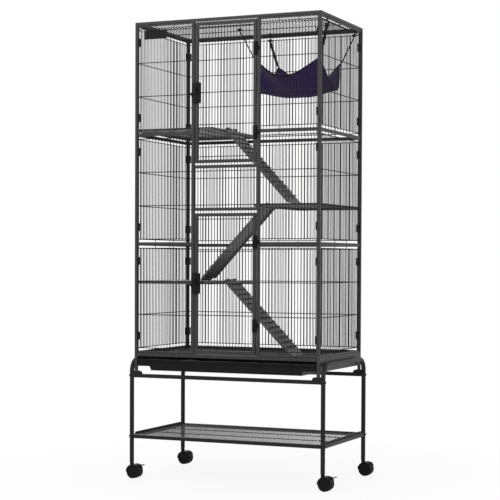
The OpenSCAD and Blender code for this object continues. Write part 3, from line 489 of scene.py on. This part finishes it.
def lathe(bm, profile, centre, steps=48):
    """A turned shape about the Y axis through centre; profile holds (along, radius) pairs."""
    skin(bm, [ring(bm, centre + Vector((0, y, 0)), Vector((1, 0, 0)), UP, r, steps) for y, r in profile])


def piece(bm, name, body, nodes, finishes, sharp=40, place=None):
    """The mesh as a piece that rides on its body and stands for its CAD nodes."""
    if place is not None:
        bm.transform(place)
    bmesh.ops.recalc_face_normals(bm, faces=bm.faces)
    mesh = bpy.data.meshes.new(name)
    bm.to_mesh(mesh)
    bm.free()
    mesh.polygons.foreach_set("use_smooth", [True] * len(mesh.polygons))
    mesh.set_sharp_from_angle(angle=math.radians(sharp))
    made = bpy.data.objects.new(name, mesh)
    bpy.context.scene.collection.objects.link(made)
    for finish in finishes:
        mesh.materials.append(finish_of(finish))
    made.modifiers.new("even_shading", "WEIGHTED_NORMAL").keep_sharp = True
    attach(made, body)
    if nodes:
        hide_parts(*nodes)
    return made


def soften(node, finish, rounding):
    """A CAD node keeps its shape and gets rounded edges and its finish."""
    shown = frame["nodes"][node]
    shown.data.materials.clear()
    shown.data.materials.append(finish_of(finish))
    shown.data.polygons.foreach_set("use_smooth", [True] * len(shown.data.polygons))
    weld = shown.modifiers.new("join_corners", "WELD")
    weld.merge_threshold = WELD_DISTANCE
    edge = shown.modifiers.new("round_edges", "BEVEL")
    edge.width = rounding
    edge.segments = 2
    edge.limit_method = "ANGLE"
    edge.angle_limit = SOFTEN_ANGLE
    edge.harden_normals = True
    edge.use_clamp_overlap = True
    shown.modifiers.new("even_shading", "WEIGHTED_NORMAL").keep_sharp = True


# ---------- Wire panels ----------

EDGE_BAR = 4 * MM  # side of the slim upright bar at a panel's edge
EDGE_ROUNDING = 0.6 * MM
WALL_RAIL = 6 * MM  # thickness of a panel's level rails
MIDDLE_RAIL = 11.6 * MM  # height of the rails of the panel between the doors
FRAME_BAR = 12 * MM  # width of a mullion and of a door's frame
FRAME_DEPTH = 11 * MM
PLAY = 0.1 * MM  # a panel stops this much short of the next one
WELD_SHARE = 0.48  # a wire's centre is this share of its thickness off the plane where wires cross
PAST_ROW = 2.4 * MM  # an upright wire reaches this far past the outer cross wires
FROM_EDGE = 2 * MM  # a cross wire ends this far inside its field's edge
INTO_FRAME = 3 * MM  # a level panel's wires reach this far into its frame
LEVEL_GAP = 12 * MM  # from a level panel's frame to the nearest wire along X
TIER_ROWS, DOOR_ROWS = 4, 5


def evenly(low, high, count):
    """That many values from low to high at equal steps."""
    return [low + (high - low) * i / (count - 1) for i in range(count)]


def wire_count(width, pitch):
    """How many wires stand in a field of that width."""
    return math.floor(width / pitch + 0.02) - 1


def uprights(bm, sizes, width, centre, spans):
    """Upright wires across a width; spans(i, n) gives each wire's foot and head."""
    n = wire_count(width, sizes.pitch)
    y = -sizes.upright * WELD_SHARE
    for i in range(n):
        x = centre + (i - (n - 1) / 2) * sizes.pitch
        foot, head = spans(i, n)
        wire(bm, (x, y, foot), (x, y, head), sizes.upright / 2)


def cross_wire(bm, sizes, x0, x1, z):
    """A level wire along X, behind the uprights."""
    y = sizes.cross * WELD_SHARE
    wire(bm, (x0, y, z), (x1, y, z), sizes.cross / 2, 10)


def tier_field(bm, sizes, width, centre, foot, height):
    """The wires of one tier: its cross wires, uprights, and two ties that reach the rails."""
    rows = evenly(sizes.rail + sizes.low_gap, height - sizes.rail - sizes.high_gap, TIER_ROWS)
    for z in rows:
        cross_wire(bm, sizes, centre - width / 2 + FROM_EDGE, centre + width / 2 - FROM_EDGE, foot + z)

    def span(i, n):
        third = round((n - 1) / 3)
        if i in (third, n - 1 - third):
            return foot + sizes.rail / 2, foot + height - sizes.rail / 2
        return foot + rows[0] - PAST_ROW, foot + rows[-1] + PAST_ROW

    uprights(bm, sizes, width, centre, span)


def panel_place(node):
    """Where a wall stands: its width, height, and the move from its own frame to the cage's."""
    lo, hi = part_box(node)
    size, middle = hi - lo, (lo + hi) / 2
    if size.x > size.y:
        turn = math.pi if middle.y > 0 else 0
    else:
        turn = math.pi / 2 if middle.x > 0 else -math.pi / 2
    return max(size.x, size.y), size.z, (
        Matrix.Translation((middle.x, middle.y, lo.z)) @ Matrix.Rotation(turn, 4, "Z"))


def wall_rail(bm, sizes, x0, x1, low, high):
    """A level rail of an upright panel."""
    bar(bm, (x0, -WALL_RAIL / 2, low), (x1, WALL_RAIL / 2, high), sizes.rounding)


def edge_bar(bm, x, rail, height):
    """The slim bar at a panel's edge, from the middle of its lowest rail to that of its highest."""
    bar(bm, (x, -EDGE_BAR / 2, rail / 2), (x + EDGE_BAR, EDGE_BAR / 2, height - rail / 2), EDGE_ROUNDING)


def rails_and_edges(bm, sizes, width, height, rail):
    """The four bars round a panel."""
    for z in (0, height - rail):
        wall_rail(bm, sizes, -width / 2, width / 2, z, z + rail)
    for x in (-width / 2, width / 2 - EDGE_BAR):
        edge_bar(bm, x, rail, height)


def welded(bm, node, body, place, finishes=WELDED):
    """The mesh as the welded panel that stands for a node."""
    piece(bm, node + "_wires", body, [node], finishes, place=place)


class CAGE_OT_walls(bpy.types.Operator):
    """Build the back and side walls of round welded wire"""

    bl_idname = "cage.walls"
    bl_label = "Wire walls"

    def execute(self, context):
        sizes = context.scene.cage_wire
        for node in (f"{side}_panel_{tier}" for side in ("back", "left", "right") for tier in TIERS):
            width, height, place = panel_place(node)
            bm = bmesh.new()
            rails_and_edges(bm, sizes, width, height, sizes.rail)
            tier_field(bm, sizes, width + 2 * PLAY, 0, 0, height + PLAY)
            welded(bm, node, "cage", place)
        return {"FINISHED"}


class CAGE_OT_front(bpy.types.Operator):
    """Build the front panels beside and between the doors"""

    bl_idname = "cage.front"
    bl_label = "Front panels"

    def execute(self, context):
        sizes = context.scene.cage_wire
        for side in SIDES:
            self.wing(f"front_panel_{side}", side == "left", sizes)
        self.between_doors(sizes)
        return {"FINISHED"}

    def wing(self, node, mirrored, sizes):
        """A full-height panel beside the doors, drawn for the right side, with a door's mullion."""
        lo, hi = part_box(node)
        height = hi.z - lo.z
        inner, outer = sorted(abs(x - MIDDLE_X) for x in (lo.x, hi.x))
        tier = (height + 2 * PLAY) / len(TIERS)
        bm = bmesh.new()
        bar(bm, (inner, -FRAME_DEPTH / 2, 0), (inner + FRAME_BAR, FRAME_DEPTH / 2, height), sizes.rounding)
        edge_bar(bm, outer - EDGE_BAR, sizes.rail, height)
        for k in range(len(TIERS) + 1):
            low = max(k * tier - sizes.rail, 0)
            high = min(k * tier + sizes.rail, height)
            wall_rail(bm, sizes, inner + FRAME_BAR / 2, outer, low, high)
        width = outer - inner - FRAME_BAR
        for k in range(len(TIERS)):
            tier_field(bm, sizes, width, outer - width / 2, k * tier, tier)
        place = Matrix.Translation((MIDDLE_X, (lo.y + hi.y) / 2, lo.z))
        if mirrored:
            place = place @ Matrix.Scale(-1, 4, (1, 0, 0))
        welded(bm, node, "cage", place)

    def between_doors(self, sizes):
        """The fixed panel between the doors, with two cross wires."""
        width, height, place = panel_place("front_panel_middle")
        reach = 22 * MM
        bm = bmesh.new()
        rails_and_edges(bm, sizes, width, height, MIDDLE_RAIL)
        for z in (reach, height - reach):
            cross_wire(bm, sizes, -width / 2 + FROM_EDGE, width / 2 - FROM_EDGE, z)
        uprights(bm, sizes, width + 2 * PLAY, 0, lambda i, n: (MIDDLE_RAIL / 2, height - MIDDLE_RAIL / 2))
        welded(bm, "front_panel_middle", "cage", place)


class CAGE_OT_doors(bpy.types.Operator):
    """Build the two doors with their square frames and wires"""

    bl_idname = "cage.doors"
    bl_label = "Doors"

    def execute(self, context):
        sizes = context.scene.cage_wire
        for node in ("upper_door", "lower_door"):
            width, height, place = panel_place(node)
            bm = bmesh.new()
            mitred_frame(bm, (-width / 2, -FRAME_DEPTH / 2, 0), (width / 2, FRAME_DEPTH / 2, height),
                         FRAME_BAR, 1, sizes.rounding)
            reach = width / 2 - FRAME_BAR / 2
            for z in evenly(FRAME_BAR + sizes.low_gap, height - FRAME_BAR - sizes.high_gap, DOOR_ROWS):
                cross_wire(bm, sizes, -reach, reach, z)
            uprights(bm, sizes, width - 2 * FRAME_BAR, 0,
                     lambda i, n: (FRAME_BAR / 2, height - FRAME_BAR / 2))
            welded(bm, node, node, place)
        return {"FINISHED"}


def level_field(bm, sizes, width, y0, y1, plane):
    """Wires along Y on top of cross wires along X, in a level plane."""
    reach = width / 2 + INTO_FRAME
    z = plane - sizes.cross * WELD_SHARE
    for y in evenly(y0 + LEVEL_GAP, y1 - LEVEL_GAP, TIER_ROWS):
        wire(bm, (MIDDLE_X - reach, y, z), (MIDDLE_X + reach, y, z), sizes.cross / 2, 10)
    n = wire_count(width, sizes.pitch)
    z = plane + sizes.upright * WELD_SHARE
    for i in range(n):
        x = MIDDLE_X + (i - (n - 1) / 2) * sizes.pitch
        wire(bm, (x, y0 - INTO_FRAME, z), (x, y1 + INTO_FRAME, z), sizes.upright / 2)


class CAGE_OT_levels(bpy.types.Operator):
    """Build the roof, the floor grille and the lower shelf"""

    bl_idname = "cage.levels"
    bl_label = "Roof, floor and shelf"

    def execute(self, context):
        sizes = context.scene.cage_wire
        for node, side in (("roof_panel", 11 * MM), ("floor_grille", 6 * MM)):
            lo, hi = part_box(node)
            bm = bmesh.new()
            mitred_frame(bm, lo, hi, side, 2, sizes.rounding)
            level_field(bm, sizes, hi.x - lo.x - 2 * side, lo.y + side, hi.y - side, (lo.z + hi.z) / 2)
            welded(bm, node, "cage", None)
        self.shelf(sizes)
        return {"FINISHED"}

    def shelf(self, sizes):
        """The lower shelf: square bars between the legs, its wires, and a lip at each end."""
        lo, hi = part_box("lower_shelf")
        leg_x, leg_y = 394.5 * MM, 222.5 * MM
        thick, gap, wire_drop = 14 * MM, 0.3 * MM, 4.2 * MM
        lip, lip_inset, lip_short, lip_sunk, lip_rounding = 2 * MM, 2 * MM, 24 * MM, 1 * MM, 0.8 * MM
        top = lo.z + thick
        inner_x, inner_y = leg_x - thick / 2, leg_y - thick / 2
        bm = bmesh.new()
        for s in (-1, 1):
            bar(bm, (MIDDLE_X - inner_x, s * leg_y - thick / 2, lo.z),
                (MIDDLE_X + inner_x, s * leg_y + thick / 2, top), sizes.rounding)
            x = MIDDLE_X + s * leg_x
            bar(bm, (x - thick / 2, gap - inner_y, lo.z),
                (x + thick / 2, inner_y - gap, top), sizes.rounding)
            x -= s * lip_inset
            bar(bm, (x - lip / 2, lip_short - leg_y, top - lip_sunk),
                (x + lip / 2, leg_y - lip_short, hi.z), lip_rounding)
        level_field(bm, sizes, 2 * inner_x, -inner_y, inner_y, top - wire_drop)
        welded(bm, "lower_shelf", "cage", None, ("stand_coat", "coated_wire"))


# ---------- Solid metal and plastic ----------

SHEET_ROUNDING = 0.5 * MM
RUNG_WIDTH, RUNG_HEIGHT = 3.2 * MM, 2 * MM
RUNG_INSET = 6 * MM  # from a ramp's side to the end of its rungs
RAMP_FOOT = 24 * MM  # the lowest part of a ramp, which has no rungs
STRIP_COVER = 0.2 * MM  # how much larger a dark strip is than its rung

# Half of a wheel pair, in millimetres, for a pair 40 mm wide: the place along the axle and the radius.
# A radius of 0 or less is measured inward from the tread.
WHEEL_HALF = 20
WHEEL_PROFILE = (
    (4.6, 3), (4.6, -2.6), (5.2, -0.8), (6.4, 0), (11.2, 0), (11.5, -0.7), (12.3, -0.7), (12.6, 0),
    (18.6, 0), (19.6, -0.7), (20, -2.2), (19.8, -3.6), (18.6, -4.6), (18.2, -12),
    (18.6, 8.4), (19.6, 7.6), (20, 6.2), (20, 1.2))
AXLE_HALF, AXLE_RADIUS = 5.2 * MM, 3 * MM


class CAGE_OT_metalwork(bpy.types.Operator):
    """Finish the posts, frames, rails, runners, bolts and platforms"""

    bl_idname = "cage.metalwork"
    bl_label = "Coated metalwork"

    def execute(self, context):
        posts = [f"corner_post_{end}_{side}" for end in ENDS for side in SIDES]
        for nodes, finish, rounding in (
                (posts, "powder_coat", context.scene.cage_wire.rounding),
                (("base_frame", "tray_runner_left", "tray_runner_right"), "powder_coat", 0.5 * MM),
                (("stand_rail_front", "stand_rail_back"), "stand_coat", 0.8 * MM),
                (("side_frame_left", "side_frame_right", "stand_bolts"), "stand_coat", 0.4 * MM),
                ([f"platform_{tier}" for tier in TIERS], "coated_sheet", SHEET_ROUNDING)):
            for node in nodes:
                soften(node, finish, rounding)
        return {"FINISHED"}


class CAGE_OT_ramps(bpy.types.Operator):
    """Finish the ramps and lay a dark strip over each rung"""

    bl_idname = "cage.ramps"
    bl_label = "Ramps"

    def execute(self, context):
        sizes = context.scene.cage_ramp
        for tier in TIERS:
            soften(f"ramp_{tier}", "coated_sheet", SHEET_ROUNDING)
            self.dark_strips(f"ramp_{tier}", sizes)
        return {"FINISHED"}

    def dark_strips(self, node, sizes):
        """A dark strip over each rung, in the ramp's own frame: X runs down the ramp from its rod."""
        rod = next(j["pos_m"] for j in frame["record"]["behaviour"]["joints"] if j["child"] == node)
        lo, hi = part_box(node)
        drop = rod[2] - lo.z
        lean = (math.asin(drop / math.hypot(sizes.length, sizes.flange))
                - math.atan2(sizes.flange, sizes.length))
        half = (hi.y - lo.y) / 2 - RUNG_INSET + STRIP_COVER
        count = math.floor((sizes.length - RAMP_FOOT) / sizes.rung_pitch)
        bm = bmesh.new()
        for x in (i * sizes.rung_pitch for i in range(1, count + 1)):
            bar(bm, (x - STRIP_COVER, -half, 0),
                (x + RUNG_WIDTH + STRIP_COVER, half, RUNG_HEIGHT + STRIP_COVER), 0.8 * MM)
        place = Matrix.Translation(rod)
        if (lo.x + hi.x) / 2 < rod[0]:
            place = place @ Matrix.Scale(-1, 4, (1, 0, 0))
        # the strips make the rungs show as dark lines on the lighter sheet
        piece(bm, node + "_grips", node, [], ["black_plastic"],
              place=place @ Matrix.Rotation(lean, 4, "Y"))


class CAGE_OT_plastics(bpy.types.Operator):
    """Finish the clips, hinges, latches, plate and tray"""

    bl_idname = "cage.plastics"
    bl_label = "Plastic parts"

    def execute(self, context):
        for node in ("panel_clips", "hinge_pins", "upper_door_hinges", "lower_door_hinges",
                     "upper_latch_case", "lower_latch_case", "upper_latch_lever", "lower_latch_lever",
                     "latch_keepers", "name_plate"):
            soften(node, "black_plastic", 0.45 * MM)
        soften("tray", "tray_plastic", 0.6 * MM)
        return {"FINISHED"}


class CAGE_OT_castors(bpy.types.Operator):
    """Build the twin wheels and finish the castor bodies and brake levers"""

    bl_idname = "cage.castors"
    bl_label = "Castors"

    def execute(self, context):
        for place in (f"{end}_{side}" for end in ENDS for side in SIDES):
            soften("castor_" + place, "black_plastic", 0.5 * MM)
            self.wheels("wheels_" + place)
        for side in SIDES:
            soften("brake_lever_" + side, "black_plastic", 0.4 * MM)
        return {"FINISHED"}

    def wheels(self, node):
        """Two wheels and their axle, turned about Y in the box of the CAD wheels."""
        lo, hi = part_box(node)
        middle, radius, half = (lo + hi) / 2, (hi.z - lo.z) / 2, (hi.y - lo.y) / 2
        bm = bmesh.new()
        for s in (-1, 1):
            lathe(bm, [(s * half * y / WHEEL_HALF, r * MM if r > 0 else radius + r * MM)
                       for y, r in WHEEL_PROFILE], middle)
        lathe(bm, [(-AXLE_HALF, AXLE_RADIUS), (AXLE_HALF, AXLE_RADIUS)], middle, 24)
        piece(bm, node + "_turned", node, [node], ["wheel_rubber"], sharp=28)


# ---------- Hammock ----------

CELLS_X, CELLS_Y = 48, 42
ROW = CELLS_X + 1
CORNER_INSET = 1.5 * MM  # the cloth's corners hang this far inside the CAD cloth's box
BINDING_RADIUS = 0.95  # as a share of the cloth's thickness
FIRST_SAG = 0.12  # belly of the plain hung shape, whose corners draw in the simulated cloth


class CAGE_OT_hammock(bpy.types.Operator):
    """Hang the hammock by its corners as simulated cloth, and bind its edge"""

    bl_idname = "cage.hammock"
    bl_label = "Hammock"

    def execute(self, context):
        sizes = context.scene.cage_hammock
        lo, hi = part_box("hammock")
        centre = (lo + hi) / 2
        centre.z = hi.z - sizes.thickness / 2
        half_x, half_y = (hi.x - lo.x) / 2 - CORNER_INSET, (hi.y - lo.y) / 2 - CORNER_INSET
        grid = [(i / CELLS_X * 2 - 1, j / CELLS_Y * 2 - 1) for j in range(CELLS_Y + 1) for i in range(ROW)]
        flat = [centre + Vector((u * sizes.width, v * sizes.length, 0)) / 2 for u, v in grid]
        faces = [(a, a + 1, a + ROW + 1, a + ROW)
                 for j in range(CELLS_Y) for a in range(j * ROW, j * ROW + CELLS_X)]
        mesh = bpy.data.meshes.new("hammock_cloth")
        mesh.from_pydata(flat, [], faces)
        cloth = bpy.data.objects.new("hammock_cloth", mesh)
        context.scene.collection.objects.link(cloth)
        cloth.shape_key_add(name="flat_cut")
        hung = cloth.shape_key_add(name="hung")
        for key, (u, v) in zip(hung.data, grid):
            sag = FIRST_SAG * (1 - (u * v) ** 2) * (1 - 0.5 * max(abs(u), abs(v)) ** 2)
            key.co = centre + Vector((u * half_x, v * half_y, -sag))
        corners = [j * ROW + i for j in (0, 1, CELLS_Y - 1, CELLS_Y) for i in (0, 1, CELLS_X - 1, CELLS_X)]
        cloth.vertex_groups.new(name="corners").add(corners, 1.0, "REPLACE")
        self.drape(context, cloth, sizes)
        self.pad(cloth, sizes)
        return {"FINISHED"}

    def drape(self, context, cloth, sizes):
        """The cloth starts as its flat cut; its corners are drawn in to the straps and it falls."""
        keys = cloth.data.shape_keys
        hung = keys.key_blocks["hung"]
        drawn_in = sizes.frames // 3
        for step, share in ((1, 0), (drawn_in, 1)):
            hung.value = share
            hung.keyframe_insert("value", frame=step)
        sim = cloth.modifiers.new("drape", "CLOTH")
        s = sim.settings
        s.quality = 10
        s.mass = 0.3
        s.tension_stiffness = s.compression_stiffness = 60
        s.shear_stiffness = 12
        s.bending_stiffness = 0.8
        s.air_damping = 2
        s.vertex_group_mass = "corners"
        s.pin_stiffness = 1
        sim.collision_settings.use_collision = False
        sim.point_cache.frame_start = 1
        sim.point_cache.frame_end = sizes.frames
        for step in range(1, sizes.frames + 1):
            context.scene.frame_set(step)
        fallen = cloth.evaluated_get(context.evaluated_depsgraph_get())
        shape = [v.co.copy() for v in fallen.data.vertices]
        cloth.modifiers.remove(sim)
        keys.animation_data_clear()
        for key, place in zip(hung.data, shape):
            key.co = place
        context.scene.frame_set(1)

    def pad(self, cloth, sizes):
        """Two layers with a soft filling, and a bound edge."""
        shape = [k.co.copy() for k in cloth.data.shape_keys.key_blocks["hung"].data]
        cloth.shape_key_clear()
        for v, place in zip(cloth.data.vertices, shape):
            v.co = place
        mesh = cloth.data
        mesh.polygons.foreach_set("use_smooth", [True] * len(mesh.polygons))
        mesh.materials.append(finish_of("hammock_cloth"))
        mesh.update()
        thick = cloth.modifiers.new("padding", "SOLIDIFY")
        thick.thickness = sizes.thickness
        thick.offset = 0
        fine = cloth.modifiers.new("smooth_cloth", "SUBSURF")
        fine.levels = fine.render_levels = 1
        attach(cloth, "cage")
        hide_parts("hammock")
        rim = [*range(CELLS_X), *(j * ROW + CELLS_X for j in range(CELLS_Y)),
               *(CELLS_Y * ROW + i for i in range(CELLS_X, 0, -1)),
               *(j * ROW for j in range(CELLS_Y, 0, -1))]
        bm = bmesh.new()
        closed_rod(bm, [shape[i] for i in rim], sizes.thickness * BINDING_RADIUS, 8)
        binding = piece(bm, "hammock_binding", "cage", [], ["binding"], sharp=80)


class CAGE_OT_straps(bpy.types.Operator):
    """Finish the hammock's straps, and the buckles with their hooks"""

    bl_idname = "cage.straps"
    bl_label = "Hammock straps"

    def execute(self, context):
        soften("hammock_straps", "binding", 0.3 * MM)
        soften("strap_hooks", "black_plastic", 0.4 * MM)
        return {"FINISHED"}


# ---------- Stage ----------

LAMP_AIM = Vector((0, 0, 0.9))
# Each lamp's name, its place, its power as a share of the main lamp's, and its size
LAMPS = (("key", (-2.2, -4.2, 3.6), 1, 2.4), ("fill", (3.6, -3.4, 2.2), 0.5, 3.0),
         ("top", (0.3, 0.4, 4.6), 0.45, 3.2), ("back", (-2.6, 3.6, 2.4), 0.35, 2.6))
WORLD_LIGHT = 0.4  # how brightly the white world lights the cage; it looks white all the same


class CAGE_OT_stage(bpy.types.Operator):
    """Set the floor, the soft lamps and the camera"""

    bl_idname = "cage.stage"
    bl_label = "Studio"

    def execute(self, context):
        scene = context.scene
        setup = scene.cage_studio
        scene.view_settings.view_transform = "Standard"
        self.camera(scene, setup)
        for name, place, share, size in LAMPS:
            lamp = bpy.data.objects.new(name + "_lamp", bpy.data.lights.new(name + "_lamp", "AREA"))
            lamp.data.energy = setup.lamp * share
            lamp.data.size = size
            lamp.location = place
            lamp.rotation_euler = (LAMP_AIM - Vector(place)).to_track_quat("-Z", "Y").to_euler()
            scene.collection.objects.link(lamp)
        self.floor(scene)
        self.backdrop(scene)
        return {"FINISHED"}

    def camera(self, scene, setup):
        """The camera at the photograph's angle."""
        camera = bpy.data.objects.new("studio_camera", bpy.data.cameras.new("studio_camera"))
        scene.collection.objects.link(camera)
        camera.location = setup.place
        turn = Matrix.Rotation(setup.turn, 3, "Z")
        level = Matrix.Rotation(math.pi / 2 + setup.tilt, 3, "X")
        camera.rotation_euler = (turn @ level @ Matrix.Rotation(setup.roll, 3, "Z")).to_euler()
        camera.data.lens = setup.lens
        camera.data.sensor_width = 36
        camera.data.shift_y = setup.rise
        camera.data.clip_end = 60
        scene.camera = camera

    def floor(self, scene):
        """A pale floor with the cage's soft shadow, which turns white away from it."""
        bm = bmesh.new()
        bmesh.ops.create_grid(bm, x_segments=4, y_segments=4, size=14)
        mesh = bpy.data.meshes.new("studio_floor")
        bm.to_mesh(mesh)
        bm.free()
        ground = bpy.data.objects.new("studio_floor", mesh)
        scene.collection.objects.link(ground)
        pale = bpy.data.materials.new("pale_floor")
        pale.use_nodes = True
        tree = pale.node_tree
        surface = tree.nodes["Principled BSDF"]
        feed_all(tree, surface, dict(Base_Color=(0.9, 0.9, 0.9), Roughness=0.9, Specular_IOR_Level=0.1))
        white = add_node(tree, "ShaderNodeEmission")
        feed(tree, white.inputs["Strength"], 1)
        place = add_node(tree, "ShaderNodeTexCoord")
        away = add_node(tree, "ShaderNodeVectorMath", operation="LENGTH")
        fade = add_node(tree, "ShaderNodeMapRange", interpolation_type="SMOOTHSTEP")
        wire_up(tree, (place.outputs["Object"], away.inputs[0]))
        feed_all(tree, fade, dict(From_Min=0.5, From_Max=1.5, To_Min=0.88, To_Max=1,
                                  Value=away.outputs["Value"]))
        blend = add_node(tree, "ShaderNodeMixShader")
        share = math_node(tree, "MULTIPLY", background_rays(tree), fade.outputs[0])
        wire_up(tree, (share, blend.inputs[0]), (surface.outputs[0], blend.inputs[1]),
                (white.outputs[0], blend.inputs[2]),
                (blend.outputs[0], tree.nodes["Material Output"].inputs[0]))
        mesh.materials.append(pale)

    def backdrop(self, scene):
        """A white world that lights less brightly than it looks."""
        world = bpy.data.worlds.new("studio_world")
        world.use_nodes = True
        scene.world = world
        tree = world.node_tree
        soft = tree.nodes["Background"]
        bright = add_node(tree, "ShaderNodeBackground")
        for background, strength in ((soft, WORLD_LIGHT), (bright, 1)):
            feed_all(tree, background, dict(Color=(1, 1, 1), Strength=strength))
        blend = add_node(tree, "ShaderNodeMixShader")
        wire_up(tree, (background_rays(tree), blend.inputs[0]), (soft.outputs[0], blend.inputs[1]),
                (bright.outputs[0], blend.inputs[2]),
                (blend.outputs[0], tree.nodes["World Output"].inputs[0]))


# ---------- Add-on ----------

SETTINGS = {"cage_wire": CageWireSizes, "cage_finish": CageFinish, "cage_ramp": RampSizes,
            "cage_hammock": HammockSizes, "cage_studio": StudioSetup}
STEPS = (CAGE_OT_walls, CAGE_OT_front, CAGE_OT_doors, CAGE_OT_levels, CAGE_OT_metalwork, CAGE_OT_ramps,
         CAGE_OT_plastics, CAGE_OT_castors, CAGE_OT_hammock, CAGE_OT_straps, CAGE_OT_stage)


class CAGE_PT_panel(bpy.types.Panel):
    """List the cage's building steps and settings"""

    bl_idname = "CAGE_PT_panel"
    bl_label = "Ferret cage"
    bl_space_type = "VIEW_3D"
    bl_region_type = "UI"
    bl_category = "Cage"

    def draw(self, context):
        for step in STEPS:
            self.layout.operator(step.bl_idname)
        for label, settings in SETTINGS.items():
            box = self.layout.box()
            for key in settings.__annotations__:
                box.prop(getattr(context.scene, label), key)


def register():
    for kind in (*SETTINGS.values(), *STEPS, CAGE_PT_panel):
        bpy.utils.register_class(kind)
    for label, settings in SETTINGS.items():
        setattr(bpy.types.Scene, label, PointerProperty(type=settings))


def unregister():
    for label in SETTINGS:
        delattr(bpy.types.Scene, label)
    for kind in reversed((*SETTINGS.values(), *STEPS, CAGE_PT_panel)):
        bpy.utils.unregister_class(kind)


def main():
    """Run every building step."""
    register()
    for step in STEPS:
        area, name = step.bl_idname.split(".")
        getattr(getattr(bpy.ops, area), name)()


if __name__ == "__main__":
    main()
